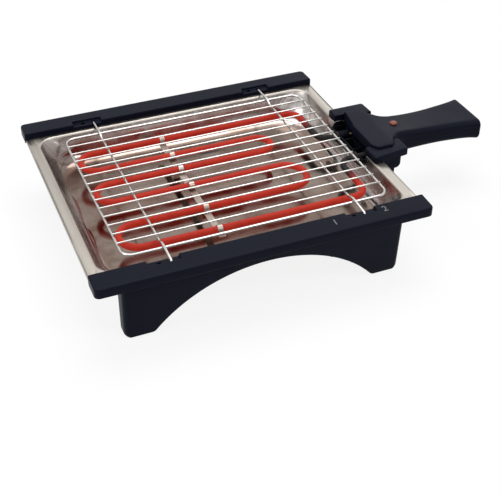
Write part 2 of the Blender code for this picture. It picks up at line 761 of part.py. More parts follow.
def rack_ring():
    outline = rounded_rectangle(
        RACK_SHIFT - RING_LENGTH / 2, RACK_SHIFT + RING_LENGTH / 2,
        -RING_WIDTH / 2, RING_WIDTH / 2, RING_CORNER,
    )
    points = [(x, y, level(RING_LEVEL)) for x, y in outline]
    return as_part(wire("rack_ring", points, RING_WIRE, closed=True), CHROME)


def rod_level():
    return RING_LEVEL + RING_WIRE / 2 + GAP + ROD_WIRE / 2


def rack_rods():
    reach = RING_LENGTH / 2 + ROD_OVERHANG
    for i in range(ROD_COUNT):
        y = ((ROD_COUNT - 1) / 2 - i) * ROD_PITCH
        ends = [(RACK_SHIFT + hand * reach, y, level(rod_level())) for hand in (-1, 1)]
        as_part(wire(f"rack_rod_{i + 1:02d}", ends, ROD_WIRE), CHROME)


def support_path(x):
    """Half of a support wire: out from the middle, over the ring and into its slot."""
    under = rod_level() - ROD_WIRE / 2 - GAP - SUPPORT_WIRE / 2
    over = RING_LEVEL + RING_WIRE / 2 + GAP + SUPPORT_WIRE / 2
    rest = POCKET_FLOOR + GAP + SUPPORT_WIRE / 2
    crest = RING_WIDTH / 2
    turn = slot_line()
    half = [(crest - SUPPORT_DIP, under)]
    steps = 6
    for i in range(1, steps + 1):
        share = (1 - cos(pi * i / steps)) / 2
        y = crest - SUPPORT_DIP + (SUPPORT_DIP - RING_WIRE / 2) * i / steps
        half.append((y, under + (over - under) * share))
    half.append((crest + RING_WIRE, over))
    bend = turn - WIRE_BEND
    for angle in BEND_TURNS:
        angle = radians(angle)
        half.append((bend + WIRE_BEND * sin(angle), rest - WIRE_BEND * (1 - cos(angle))))
    half.append((turn, SUPPORT_TIP))
    front = [(x, -y, level(z)) for y, z in reversed(half)]
    return front + [(x, y, level(z)) for y, z in half]


def rack_supports():
    for word, hand in (("left", -1), ("right", 1)):
        x = RACK_SHIFT + hand * SUPPORT_SPACING / 2
        as_part(wire(f"rack_support_{word}", support_path(x), SUPPORT_WIRE), CHROME)


def half_turn(x_end, y_start, y_end, hand):
    """Points of a U-bend whose outermost point lies at x_end."""
    radius = abs(y_end - y_start) / 2
    centre = (x_end - hand * radius, (y_start + y_end) / 2)
    points = []
    for i in range(BEND_STEPS + 1):
        angle = pi * i / BEND_STEPS
        y = y_start + (y_end - y_start) * (1 - cos(angle)) / 2
        points.append((centre[0] + hand * radius * sin(angle), y))
    return points


def cold_end(side, outer_run):
    """From the terminal block to the outer run: in, sideways, and onto the run."""
    r = COLD_END_BEND
    near = side * COLD_END_SPREAD
    x = COLD_END_PLACE
    points = [(COLD_END_TIP, near)]
    steps = BEND_STEPS // 2
    for i in range(steps + 1):
        angle = pi / 2 * i / steps
        points.append((x + r - r * sin(angle), near + side * r * (1 - cos(angle))))
    for i in range(steps + 1):
        angle = pi / 2 * i / steps
        points.append((x - r * (1 - cos(angle)), outer_run - side * r * (1 - sin(angle))))
    return points


def element_path():
    runs = RUN_PLACES
    path = cold_end(-1, runs[0])
    path += half_turn(LEFT_BEND_END, runs[0], runs[1], -1)
    path += half_turn(RIGHT_BEND_ENDS[0], runs[1], runs[2], 1)
    path += half_turn(LEFT_BEND_END, runs[2], runs[3], -1)
    path += half_turn(RIGHT_BEND_ENDS[1], runs[3], runs[4], 1)
    path += half_turn(LEFT_BEND_END, runs[4], runs[5], -1)
    path += reversed(cold_end(1, runs[5]))
    return [(x, y, level(-ELEMENT_LEVEL)) for x, y in path]


def heating_element():
    return as_part(wire("heating_element", element_path(), TUBE), HOT_TUBE)


def element_strip():
    """A flat strip under the runs, with a band round each run and two feet."""
    under = -ELEMENT_LEVEL - TUBE / 2 - GAP
    x_low, x_high = STRIP_PLACE - STRIP_WIDTH / 2, STRIP_PLACE + STRIP_WIDTH / 2
    obj = box(
        "element_strip",
        (x_low, RUN_PLACES[0] - STRIP_END, level(under - STRIP_SHEET)),
        (x_high, RUN_PLACES[-1] + STRIP_END, level(under)),
    )
    for share in STRIP_FOOT_SHARES:
        place = RUN_REACH * share
        foot = box(
            "strip_foot",
            (x_low, place - STRIP_SHEET / 2, level(-PAN_DEPTH + GAP)),
            (x_high, place + STRIP_SHEET / 2, level(under - STRIP_SHEET / 2)),
        )
        toe = box(
            "strip_toe",
            (x_low, place - STRIP_SHEET / 2, level(-PAN_DEPTH + GAP)),
            (x_high, place + STRIP_FOOT_LENGTH, level(-PAN_DEPTH + GAP + STRIP_SHEET)),
        )
        join(obj, foot, toe)
    band = TUBE / 2 + GAP + CLIP_SHEET
    for y in RUN_PLACES:
        start = (STRIP_PLACE - CLIP_WIDTH / 2, y, level(-ELEMENT_LEVEL))
        join(obj, cylinder("clip_band", start, (1, 0, 0), band, CLIP_WIDTH, CLIP_SIDES))
    for y in RUN_PLACES:
        start = (x_low - OVERRUN, y, level(-ELEMENT_LEVEL))
        bore = TUBE / 2 + GAP
        length = STRIP_WIDTH + 2 * OVERRUN
        cut(obj, cylinder("clip_bore", start, (1, 0, 0), bore, length, CLIP_SIDES))
    return as_part(obj, STEEL)


def terminal_block():
    """The block in the tray's notch, with ribs on top and a bore for each cold end."""
    end = RIM_END + RIM_CLEARANCE
    obj = box(
        "terminal_block",
        (BLOCK_FACE, -BLOCK_HALF_WIDTH, level(-BLOCK_BOTTOM)),
        (end, BLOCK_HALF_WIDTH, level(-BLOCK_TOP)),
    )
    bevel(obj, BLOCK_EDGE)
    edge_rib = BLOCK_HALF_WIDTH - BLOCK_END_WALL / 2
    for place in (-edge_rib, -BLOCK_RIB_FRONT, BLOCK_RIB_BACK, edge_rib):
        rib = box(
            "block_rib",
            (BLOCK_FACE + BLOCK_EDGE, place - BLOCK_RIB / 2, level(-BLOCK_TOP - BLOCK_EDGE)),
            (end - BLOCK_EDGE, place + BLOCK_RIB / 2, level(-BLOCK_TOP + BLOCK_RIB_HEIGHT - 2 * GAP)),
        )
        join(obj, rib)
    for side in (-1, 1):
        start = (BLOCK_FACE - OVERRUN, side * COLD_END_SPREAD, level(-ELEMENT_LEVEL))
        deep = COLD_END_TIP - BLOCK_FACE + OVERRUN + GAP
        cut(obj, cylinder("block_bore", start, (1, 0, 0), TUBE / 2 + GAP, deep, 16))
        through = end - BLOCK_FACE + 2 * OVERRUN
        cut(obj, cylinder("pin_bore", start, (1, 0, 0), PIN_SIZE / 2 + GAP, through, 10))
    return as_part(obj, RESIN)


def collars_and_pins():
    """A collar on each cold end against the block, and the pin behind its tip."""
    for word, side in (("front", -1), ("back", 1)):
        y = side * COLD_END_SPREAD
        start = (BLOCK_FACE - GAP - COLLAR_LENGTH, y, level(-ELEMENT_LEVEL))
        outer = TUBE / 2 + GAP + COLLAR_WALL
        collar = cylinder(f"cold_end_collar_{word}", start, (1, 0, 0), outer, COLLAR_LENGTH, 18)
        bore_start = (start[0] - OVERRUN, y, start[2])
        length = COLLAR_LENGTH + 2 * OVERRUN
        bore = cylinder("collar_bore", bore_start, (1, 0, 0), TUBE / 2 + GAP, length, 18)
        as_part(cut(collar, bore), ZINC)
        foot = (COLD_END_TIP + GAP, y, level(-ELEMENT_LEVEL))
        pin = cylinder(f"terminal_pin_{word}", foot, (1, 0, 0), PIN_SIZE / 2, PIN_LENGTH, 10)
        as_part(pin, ZINC)


def control_outline(spread):
    """The box and the root of the handle seen from above, moved out by spread."""
    root_x, root_width = HANDLE_STATIONS[2], HANDLE_HALF_WIDTHS[2]
    upper = [
        (HOLDER_START - OVERRUN, BOX_HALF_WIDTH + spread),
        (BOX_END + spread, BOX_HALF_WIDTH + spread),
        (root_x + spread, root_width + 2 * spread),
        (HOLDER_END + OVERRUN, root_width + 2 * spread),
    ]
    return [(x, -w) for x, w in upper] + [(x, w) for x, w in reversed(upper)]


def holder():
    """A frame on the rim round the control box, with a cradle below its outer half."""
    low = level(GAP)
    top = level(HOLDER_TOP)
    outline = rounded_rectangle(
        HOLDER_START, HOLDER_END, -HOLDER_HALF_WIDTH, HOLDER_HALF_WIDTH, HOLDER_CORNER
    )
    obj = bevel(flat("rim_holder", outline, low, top), HOLDER_EDGE, 2, 50)
    wall_start = RIM_END + RIM_CLEARANCE
    lower = CRADLE_LOWER_REACH - CRADLE_CORNER
    upper = CRADLE_REACH - CRADLE_CORNER
    profile = (
        [(wall_start, HOLDER_TOP / 2), (wall_start, -CRADLE_BOTTOM)]
        + arc((lower, -CRADLE_BOTTOM + CRADLE_CORNER), CRADLE_CORNER, 270, 360)
        + [(CRADLE_LOWER_REACH, -CRADLE_STEP)]
        + arc((upper, -CRADLE_STEP + CRADLE_CORNER), CRADLE_CORNER, 270, 360)
        + [(CRADLE_REACH, HOLDER_TOP / 2)]
    )
    cradle = loft("holder_cradle", [
        [(x, -CRADLE_HALF_WIDTH, level(z)) for x, z in profile],
        [(x, CRADLE_HALF_WIDTH, level(z)) for x, z in profile],
    ])
    join(obj, cradle)
    opening = flat(
        "holder_opening", control_outline(RUNNING_GAP),
        level(-CRADLE_BOTTOM + CRADLE_FLOOR), level(HOLDER_TOP + OVERRUN),
    )
    cut(obj, opening)
    for side in (-1, 1):
        spot = (HOLDER_SCREW_PLACE, side * HOLDER_SCREW_SPREAD, level(-OVERRUN))
        cut(obj, screw_hole("holder_hole", spot, (0, 0, 1), OVERRUN + holder_screw_bite() + GAP))
    return as_part(obj, PLASTIC)


def holder_screw_bite():
    return HOLDER_TOP - LEG_WALL


def holder_screws():
    seat = -SHEET - GAP
    for word, side in (("front", -1), ("back", 1)):
        spot = (HOLDER_SCREW_PLACE, side * HOLDER_SCREW_SPREAD, level(seat))
        screw(f"holder_screw_{word}", spot, (0, 0, 1), holder_screw_bite() - seat)


def handle_ring(x, half_width, top, bottom, inset):
    """One rounded section of the handle across X."""
    radius = max(HANDLE_ROUND - inset, LEG_EDGE)
    outline = rounded_rectangle(
        -half_width + inset, half_width - inset, -bottom + inset, top - inset, radius, 4
    )
    return [(x, y, level(z)) for y, z in outline]


def handle_solid(name, inset):
    """The handle's outer skin, or its hollow where inset is the wall."""
    rings = []
    sections = list(zip(HANDLE_STATIONS, HANDLE_HALF_WIDTHS, HANDLE_TOPS, HANDLE_BOTTOMS))
    for x, half_width, top, bottom in sections[:-1]:
        rings.append(handle_ring(x, half_width, top, bottom, inset))
    end = sections[-1][1:]
    last = HANDLE_END - inset
    rings.append(handle_ring(last - HANDLE_END_ROUND, *end, inset))
    steps = 1 if inset else 3
    for i in range(1, steps + 1):
        angle = pi / 2 * i / steps
        draw_in = HANDLE_END_DRAW * HANDLE_END_ROUND * (1 - cos(angle))
        x = last - HANDLE_END_ROUND * (1 - sin(angle))
        rings.append(handle_ring(x, *end, inset + draw_in))
    return loft(name, rings)


def box_solid(name, inset):
    """The box over the rim: its top part over the tray, its lower part outside it."""
    outline = rounded_rectangle(
        BOX_FACE + inset, BOX_END - inset,
        -BOX_HALF_WIDTH + inset, BOX_HALF_WIDTH - inset, BOX_CORNER,
    )
    return flat(name, outline, level(-BOX_BOTTOM + inset), level(BOX_TOP - inset))


def control_skin(name):
    """The closed outer form of both shells."""
    body = bevel(box_solid(name, 0), BOX_EDGE, 2, 50)
    join(body, handle_solid(name + "_handle", 0))
    step = RIM_END + RIM_CLEARANCE + GAP
    under_rim = box(
        name + "_rim_step",
        (BOX_FACE - OVERRUN, -BOX_HALF_WIDTH - OVERRUN, level(-BOX_BOTTOM - OVERRUN)),
        (step, BOX_HALF_WIDTH + OVERRUN, level(GAP)),
    )
    cut(body, under_rim)
    return body


def control_hollow(body, name):
    """Takes the room inside out of a shell."""
    step = RIM_END + RIM_CLEARANCE + GAP + SHELL
    room = (
        (step, -BOX_HALF_WIDTH + SHELL, level(-BOX_BOTTOM + SHELL)),
        (BOX_END - SHELL, BOX_HALF_WIDTH - SHELL, level(BOX_TOP - SHELL)),
    )
    cut(body, box(name + "_box_room", *room))
    cut(body, handle_solid(name + "_handle_room", SHELL))
    return body


def control_screw_places():
    places = [(BOX_SCREW_PLACE, side * BOX_SCREW_SPREAD) for side in (-1, 1)]
    return places + [(x, 0) for x in HANDLE_SCREW_PLACES]


def control_cover():
    """The upper shell, with its posts and the hole of the pilot light."""
    split = level(-SPLIT_LEVEL)
    body = control_hollow(control_skin("control_cover"), "cover")
    below = box(
        "cover_trim",
        (BOX_FACE - OVERRUN, -HOLDER_HALF_WIDTH, level(-BOX_BOTTOM - OVERRUN)),
        (HANDLE_END + OVERRUN, HOLDER_HALF_WIDTH, split + GAP),
    )
    cut(body, below)
    for x, y in control_screw_places():
        radius = SCREW_SHANK / 2 + SCREW_CLEAR + BOSS_WALL
        top = BOX_TOP if x < BOX_END else cover_top(x)
        tall = level(top - SHELL / 2) - split - GAP
        join(body, cylinder("cover_post", (x, y, split + GAP), (0, 0, 1), radius, tall))
        foot = (x, y, split - OVERRUN)
        cut(body, screw_hole("cover_hole", foot, (0, 0, 1), OVERRUN + post_depth()))
    lens_foot = (LENS_PLACE, 0, level(0))
    cut(body, cylinder("lens_hole", lens_foot, (0, 0, 1), LENS_STEM / 2 + GAP, BOX_TOP + OVERRUN))
    cut(body, gland_hole("cover_gland_hole"))
    return as_part(body, PLASTIC)


def post_depth():
    """How far a control screw runs up into the cover's post."""
    return SPLIT_LEVEL + min(HANDLE_TOPS) - SHELL


def gland_hole(name):
    start = (HANDLE_END - HANDLE_END_ROUND - SHELL - OVERRUN, 0, level(-GLAND_LEVEL))
    length = HANDLE_END_ROUND + SHELL + 2 * OVERRUN
    return cylinder(name, start, (1, 0, 0), GLAND_SIZE / 2 + GAP, length, 20)


def control_base():
    """The lower shell: it carries the block, the switch and the cord's gland."""
    split = level(-SPLIT_LEVEL)
    body = control_hollow(control_skin("control_base"), "base")
    above = box(
        "base_trim",
        (BOX_FACE - OVERRUN, -HOLDER_HALF_WIDTH, split),
        (HANDLE_END + OVERRUN, HOLDER_HALF_WIDTH, level(BOX_TOP + OVERRUN)),
    )
    cut(body, above)
    box_floor = level(-BOX_BOTTOM + SHELL / 2)
    handle_floor = level(-min(HANDLE_BOTTOMS) + SHELL / 2)
    for x, y in control_screw_places():
        radius = SCREW_HEAD / 2 + SCREW_CLEAR + BOSS_WALL
        bottom = box_floor if x < BOX_END else handle_floor
        join(body, cylinder("base_post", (x, y, bottom), (0, 0, 1), radius, split - bottom))
        foot = (x, y, level(-BOX_BOTTOM - OVERRUN))
        cut(body, screw_hole("base_hole", foot, (0, 0, 1), BOX_BOTTOM + OVERRUN))
        sink = control_screw_seat() - foot[2] + GAP
        cut(body, screw_hole("base_sink", foot, (0, 0, 1), sink, SCREW_HEAD / 2 + SCREW_CLEAR))
    for side in (-1, 1):
        start = (RIM_END, side * COLD_END_SPREAD, level(-ELEMENT_LEVEL))
        bore = PIN_SIZE / 2 + 2 * GAP
        cut(body, cylinder("base_pin_hole", start, (1, 0, 0), bore, 2 * OVERRUN, 10))
    button_foot = (SWITCH_PLACE, SWITCH_SPREAD, level(-BOX_BOTTOM - OVERRUN))
    bore = BUTTON_SIZE / 2 + GAP
    cut(body, cylinder("button_hole", button_foot, (0, 0, 1), bore, 2 * OVERRUN, 12))
    cut(body, gland_hole("base_gland_hole"))
    for side in (-1, 1):
        post_foot = (CLAMP_PLACE, side * (CLAMP_WIDTH - CLAMP_POST) / 2, handle_floor)
        tall = clamp_bottom() - GAP - post_foot[2]
        join(body, cylinder("clamp_post", post_foot, (0, 0, 1), CLAMP_POST / 2, tall, 12))
    return as_part(body, PLASTIC)


def control_screw_seat():
    """Height of the face that each control screw's head rests on."""
    return level(-SPLIT_LEVEL - 2 * SHELL)


def control_screws():
    words = ("box_front", "box_back", "handle_inner", "handle_outer")
    for word, (x, y) in zip(words, control_screw_places()):
        length = SPLIT_LEVEL + 2 * SHELL + post_depth() - SPLIT_LEVEL - GAP
        screw(f"control_screw_{word}", (x, y, control_screw_seat()), (0, 0, 1), length)


def cover_top(place):
    """Height of the cover's top over a place along X, from its stations."""
    stations = list(zip(HANDLE_STATIONS, HANDLE_TOPS))
    for (x0, z0), (x1, z1) in zip(stations, stations[1:]):
        if x0 <= place <= x1:
            return z0 + (z1 - z0) * (place - x0) / (x1 - x0)
    return stations[-1][1]


def pilot_light():
    """A domed lens in the cover and the lamp under it."""
    slope = abs(cover_top(LENS_PLACE - LENS_SIZE / 2) - cover_top(LENS_PLACE + LENS_SIZE / 2))
    high = cover_top(LENS_PLACE - LENS_SIZE / 2) + GAP
    face = high + LENS_RIM
    tail = high - slope - SHELL - LENS_RIM
    profile = [
        (0, face + LENS_DOME),
        (LENS_SIZE / 4, face + LENS_DOME * 3 / 4),
        (LENS_SIZE / 2 - LENS_RIM / 2, face),
        (LENS_SIZE / 2, face - LENS_RIM / 2),
        (LENS_SIZE / 2, high),
        (LENS_STEM / 2, high),
        (LENS_STEM / 2, tail),
        (0, tail),
    ]
    lens = turned("pilot_lens", profile, (LENS_PLACE, 0, level(0)))
    as_part(lens, LENS_RED)
    top = level(tail) - GAP
    lamp_foot = (LENS_PLACE, 0, top - LAMP_LENGTH)
    lamp = cylinder("pilot_lamp", lamp_foot, (0, 0, 1), LAMP_SIZE / 2, LAMP_LENGTH)
    as_part(lamp, GLASS)


def safety_switch():
    """The switch that closes when the unit stands in its holder, and its button."""
    floor = level(-BOX_BOTTOM + SHELL + GAP)
    body = box(
        "safety_switch",
        (SWITCH_PLACE - SWITCH_WIDTH / 2, SWITCH_SPREAD - SWITCH_LENGTH / 2, floor),
        (SWITCH_PLACE + SWITCH_WIDTH / 2, SWITCH_SPREAD + SWITCH_LENGTH / 2, floor + SWITCH_HEIGHT),
    )
    bevel(body, BLOCK_EDGE, 1)
    room = SWITCH_HEIGHT / 2
    well = cylinder(
        "button_well", (SWITCH_PLACE, SWITCH_SPREAD, floor - OVERRUN), (0, 0, 1),
        BUTTON_SIZE / 2 + GAP, OVERRUN + room, 12,
    )
    as_part(cut(body, well), RESIN)
    foot = (SWITCH_PLACE, SWITCH_SPREAD, level(-CRADLE_BOTTOM + CRADLE_FLOOR + GAP))
    length = floor + room - GAP - BUTTON_TRAVEL - foot[2]
    button = cylinder("switch_button", foot, (0, 0, 1), BUTTON_SIZE / 2, length, 12)
    as_part(button, LENS_RED)


def thermal_cutout():
    floor = level(-BOX_BOTTOM + SHELL + GAP)
    foot = (SWITCH_PLACE, -CUTOUT_SPREAD, floor)
    obj = cylinder("thermal_cutout", foot, (0, 0, 1), CUTOUT_SIZE / 2, CUTOUT_HEIGHT, 20)
    return as_part(bevel(obj, BLOCK_EDGE, 1), RESIN)


def cord_gland():
    """The grommet in the end of the handle, with its bore."""
    inner = HANDLE_END - SHELL - HANDLE_END_ROUND / 2
    obj = cylinder(
        "cord_gland", (inner, 0, level(-GLAND_LEVEL)), (1, 0, 0),
        GLAND_SIZE / 2, HANDLE_END + GLAND_SHOWS - inner, 20,
    )
    flange_start = (HANDLE_END + GAP, 0, level(-GLAND_LEVEL))
    join(obj, cylinder("gland_flange", flange_start, (1, 0, 0), GLAND_FLANGE / 2, GLAND_SHOWS, 20))
    bore_start = (inner - OVERRUN, 0, level(-GLAND_LEVEL))
    length = HANDLE_END - inner + 2 * OVERRUN
    cut(obj, cylinder("gland_bore", bore_start, (1, 0, 0), GLAND_BORE / 2, length, 16))
    return as_part(obj, RUBBER)


def clamp_bottom():
    return level(-GLAND_LEVEL - GLAND_BORE / 2)


def cord_clamp():
    """The bar that grips the lead between two posts of the base."""
    obj = box(
        "cord_clamp",
        (CLAMP_PLACE - CLAMP_LENGTH / 2, -CLAMP_WIDTH / 2, clamp_bottom()),
        (CLAMP_PLACE + CLAMP_LENGTH / 2, CLAMP_WIDTH / 2, clamp_bottom() + CLAMP_HEIGHT),
    )
    return as_part(bevel(obj, BLOCK_EDGE, 1), RESIN)


def clear_scene():
    for obj in list(bpy.data.objects):
        bpy.data.objects.remove(obj)


def centre_on_origin():
    """Hangs every piece and cutter on one empty, which centres the grill along X."""
    low = -RAIL_LENGTH / 2
    high = HANDLE_END + GAP + GLAND_SHOWS
    carrier = bpy.data.objects.new("grill_centre", None)
    collection(COLLECTION).objects.link(carrier)
    carrier.location.x = -(low + high) / 2
    for obj in bpy.data.objects:
        if obj != carrier:
            obj.parent = carrier


def main():
    clear_scene()
    tray()
    for name, side in (("front", -1), ("back", 1)):
        rail(f"{name}_rail", side)
        leg(f"{name}_leg", side)
        rail_screws(name, side)
        pad(f"{name}_pad_left", -1, side)
        pad(f"{name}_pad_right", 1, side)
    rack_ring()
    rack_rods()
    rack_supports()
    heating_element()
    element_strip()
    terminal_block()
    collars_and_pins()
    holder()
    holder_screws()
    control_base()
    control_cover()
    control_screws()
    pilot_light()
    safety_switch()
    thermal_cutout()
    cord_gland()
    cord_clamp()
    centre_on_origin()


main()
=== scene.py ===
# %% [markdown]
# # A tabletop electric grill
# The grill stands on a worktop: a drawn steel drip tray with a wide rim, a red-hot
# tube that snakes through it, a wire rack on top, two plastic side rails on arched
# legs, and a loose control unit whose long handle sticks out to the right.
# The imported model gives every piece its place. This lesson works out finer
# surfaces for the pieces that show, dresses them in procedural materials, and
# photographs them from where the picture was taken.

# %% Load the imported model
from math import pi, radians

import bmesh
import bpy
import numpy as np
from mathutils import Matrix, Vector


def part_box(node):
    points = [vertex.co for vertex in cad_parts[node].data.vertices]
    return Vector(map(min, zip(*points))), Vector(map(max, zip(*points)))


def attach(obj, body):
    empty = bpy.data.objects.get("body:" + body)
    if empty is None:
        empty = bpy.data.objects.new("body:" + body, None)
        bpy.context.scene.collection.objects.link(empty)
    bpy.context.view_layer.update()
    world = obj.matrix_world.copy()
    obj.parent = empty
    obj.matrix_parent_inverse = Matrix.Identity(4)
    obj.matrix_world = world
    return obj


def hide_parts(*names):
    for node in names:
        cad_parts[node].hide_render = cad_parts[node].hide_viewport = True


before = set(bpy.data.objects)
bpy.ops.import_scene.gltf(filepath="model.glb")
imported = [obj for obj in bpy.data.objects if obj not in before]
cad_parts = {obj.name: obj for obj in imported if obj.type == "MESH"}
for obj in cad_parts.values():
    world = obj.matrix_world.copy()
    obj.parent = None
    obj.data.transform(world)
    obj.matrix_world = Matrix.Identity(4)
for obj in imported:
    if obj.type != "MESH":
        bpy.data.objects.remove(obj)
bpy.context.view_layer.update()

# %% [markdown]
# ## The camera
# The edges of the tray, the rails and the rack run to their vanishing points in
# the picture, and those fix the camera: a long lens, a good metre away, turned
# 22 degrees to the left and looking down by 36. A small shift of the lens keeps
# the grill where it sits in the frame without turning the camera any further.

# %% Set up the camera
camera_data = bpy.data.cameras.new("photo_camera")
camera_data.lens = 73.06
camera_data.sensor_width = 36.0
camera_data.shift_x = 0.0171
camera_data.shift_y = -0.0470
camera = bpy.data.objects.new("photo_camera", camera_data)
camera.location = (-0.42503, -0.94260, 0.73265)
camera.rotation_euler = (radians(53.75), 0.0, radians(-22.04))
bpy.context.scene.collection.objects.link(camera)
bpy.context.scene.camera = camera
print("camera stands", round(camera.location.length, 3), "m from the middle of the grill's foot")

# %% [markdown]
# ## Floor, backdrop and light
# A product picture is lit by large soft boxes in a white room. The floor is pale
# and matt and takes the soft shadow. Where the camera, a mirror-like metal or a
# glass looks past the grill, the room is plain white; the light that falls on
# the grill from it is weaker, so that a colour renders about as it is written.

# %% Show colours as they are written
bpy.context.scene.view_settings.view_transform = "Standard"
print("view transform:", bpy.context.scene.view_settings.view_transform)

# %% Light rays that should find a white room
def new_material(name):
    """A material with its Principled shader."""
    material = bpy.data.materials.new(name)
    material.use_nodes = True
    return material


def white_where_seen(tree, plain_shader, strength, share=1.0):
    """A mix of a shader with plain white light, which the camera, mirrors and glass see.

    A share below 1 leaves some of the plain shader in view, and with it the shadow.
    """
    nodes, links = tree.nodes, tree.links
    path = nodes.new("ShaderNodeLightPath")
    seen = nodes.new("ShaderNodeMath")
    seen.operation = "MAXIMUM"
    links.new(path.outputs["Is Camera Ray"], seen.inputs[0])
    links.new(path.outputs["Is Transmission Ray"], seen.inputs[1])
    found = nodes.new("ShaderNodeMath")
    found.operation = "MAXIMUM"
    links.new(seen.outputs[0], found.inputs[0])
    links.new(path.outputs["Is Glossy Ray"], found.inputs[1])
    part = nodes.new("ShaderNodeMath")
    part.operation = "MULTIPLY"
    part.inputs[1].default_value = share
    links.new(found.outputs[0], part.inputs[0])
    white = nodes.new("ShaderNodeEmission")
    white.inputs["Color"].default_value = (1.0, 1.0, 1.0, 1.0)
    white.inputs["Strength"].default_value = strength
    mix = nodes.new("ShaderNodeMixShader")
    links.new(part.outputs[0], mix.inputs["Fac"])
    links.new(plain_shader.outputs[0], mix.inputs[1])
    links.new(white.outputs[0], mix.inputs[2])
    return mix


world = bpy.data.worlds.new("white_room")
world.use_nodes = True
bpy.context.scene.world = world
room_light = world.node_tree.nodes["Background"]
room_light.inputs["Color"].default_value = (0.96, 0.98, 1.0, 1.0)
room_light.inputs["Strength"].default_value = 0.42
room_mix = white_where_seen(world.node_tree, room_light, 1.0)
world.node_tree.links.new(room_mix.outputs[0], world.node_tree.nodes["World Output"].inputs["Surface"])
print("room lights with", room_light.inputs["Strength"].default_value)

# %% Lay the floor
floor_mesh = bpy.data.meshes.new("studio_floor")
reach = 4.0
floor_mesh.from_pydata(
    [(-reach, -reach, 0), (reach, -reach, 0), (reach, reach, 0), (-reach, reach, 0)], [], [(0, 1, 2, 3)]
)
floor = bpy.data.objects.new("studio_floor", floor_mesh)
bpy.context.scene.collection.objects.link(floor)
floor_finish = new_material("pale_floor")
floor_shader = floor_finish.node_tree.nodes["Principled BSDF"]
floor_shader.inputs["Roughness"].default_value = 0.9
floor_shader.inputs["Specular IOR Level"].default_value = 0.1
grit = floor_finish.node_tree.nodes.new("ShaderNodeTexNoise")
grit.inputs["Scale"].default_value = 30.0
place = floor_finish.node_tree.nodes.new("ShaderNodeTexCoord")
tint = floor_finish.node_tree.nodes.new("ShaderNodeMix")
tint.data_type = "RGBA"
tint.inputs["A"].default_value = (0.90, 0.90, 0.90, 1.0)
tint.inputs["B"].default_value = (0.93, 0.93, 0.93, 1.0)
floor_finish.node_tree.links.new(place.outputs["Object"], grit.inputs["Vector"])
floor_finish.node_tree.links.new(grit.outputs["Fac"], tint.inputs["Factor"])
floor_finish.node_tree.links.new(tint.outputs["Result"], floor_shader.inputs["Base Color"])
floor_mix = white_where_seen(floor_finish.node_tree, floor_shader, 1.0, 0.86)
floor_out = floor_finish.node_tree.nodes["Material Output"]
floor_finish.node_tree.links.new(floor_mix.outputs[0], floor_out.inputs["Surface"])
floor_mesh.materials.append(floor_finish)
print("floor is", 2 * reach, "m wide")

# %% Hang the soft boxes
def soft_box(name, spot, target, size, power):
    """A square lamp that looks from spot towards target."""
    data = bpy.data.lights.new(name, "AREA")
    data.shape = "RECTANGLE"
    data.size, data.size_y = size
    data.energy = power
    lamp = bpy.data.objects.new(name, data)
    lamp.location = spot
    bpy.context.scene.collection.objects.link(lamp)
    toward = np.array(target) - np.array(spot)
    flat = np.hypot(toward[0], toward[1])
    lamp.rotation_euler = (np.arctan2(flat, -toward[2]), 0.0, np.arctan2(toward[1], toward[0]) - pi / 2)
    return lamp


soft_box("overhead_box", (0.2, 0.6, 1.9), (0.0, 0.0, 0.0), (1.6, 1.2), 26.0)
soft_box("left_box", (-1.9, -0.3, 1.1), (0.0, 0.0, 0.05), (0.9, 1.2), 14.0)
soft_box("front_box", (0.65, -1.25, 1.6), (0.0, 0.0, 0.05), (0.7, 0.4), 7.0)
soft_box("window_box", (1.50, 1.85, 1.15), (-0.10, 0.05, 0.05), (0.8, 0.34), 2.6)
print("soft boxes hung: 4")

# %% [markdown]
# ## Surfaces from numbers
# Every new piece is a grid of points. Most are a profile carried along a path: the
# path gives a place for each row, and the profile gives the points of the row.
# The whole grid is worked out at once with numpy and handed to the mesh in one go,
# which is fast and keeps the quads even. The grid's two parameters become the
# piece's own UV map, so that a finish can follow a wire or a wall.

# %% Turn a grid of points into a mesh
tray_low, tray_high = (np.array(corner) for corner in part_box("tray"))
origin = np.array([(tray_low[0] + tray_high[0]) / 2, 0.0, tray_high[2]])
print("middle of the tray's rim in mm:", np.round(1000 * origin, 2))


def surface(points, wrap_rows=False, wrap_columns=False, caps=False, along=None, keep=None):
    """A mesh over points[row, column], measured from the middle of the tray's rim.

    Each quad joins (i, j), (i + 1, j), (i + 1, j + 1) and (i, j + 1). wrap_rows and
    wrap_columns join the last row or column to the first, caps fills the first and
    last row, along gives each row its place on the UV map, keep drops quads.
    """
    points = np.asarray(points, float)
    rows, columns = points.shape[:2]
    row = np.arange(rows - 1 + wrap_rows)[:, None, None]
    column = np.arange(columns - 1 + wrap_columns)[None, :, None]
    corner_rows = row + np.array([0, 1, 1, 0])
    corner_columns = column + np.array([0, 0, 1, 1])
    quads = (corner_rows % rows) * columns + corner_columns % columns
    places = np.linspace(0, 1, rows + wrap_rows) if along is None else np.asarray(along, float)
    shares = np.linspace(0, 1, columns + wrap_columns)
    corner_rows, corner_columns = np.broadcast_arrays(corner_rows, corner_columns)
    uv = np.stack([places[corner_rows], shares[corner_columns]], axis=-1)
    if keep is not None:
        quads, uv = quads[keep], uv[keep]
    faces = quads.reshape(-1, 4).tolist()
    uv = uv.reshape(-1, 2)
    if caps:
        first = np.arange(columns)
        faces += [first.tolist(), (first[::-1] + (rows - 1) * columns).tolist()]
        ends = [np.column_stack([np.full(columns, places[end]), shares[:columns]]) for end in (0, -1)]
        uv = np.concatenate([uv] + ends)
    mesh = bpy.data.meshes.new("surface")
    mesh.from_pydata((points + origin).reshape(-1, 3), [], faces)
    mesh.uv_layers.new(name="surface").data.foreach_set("uv", uv.ravel())
    return mesh


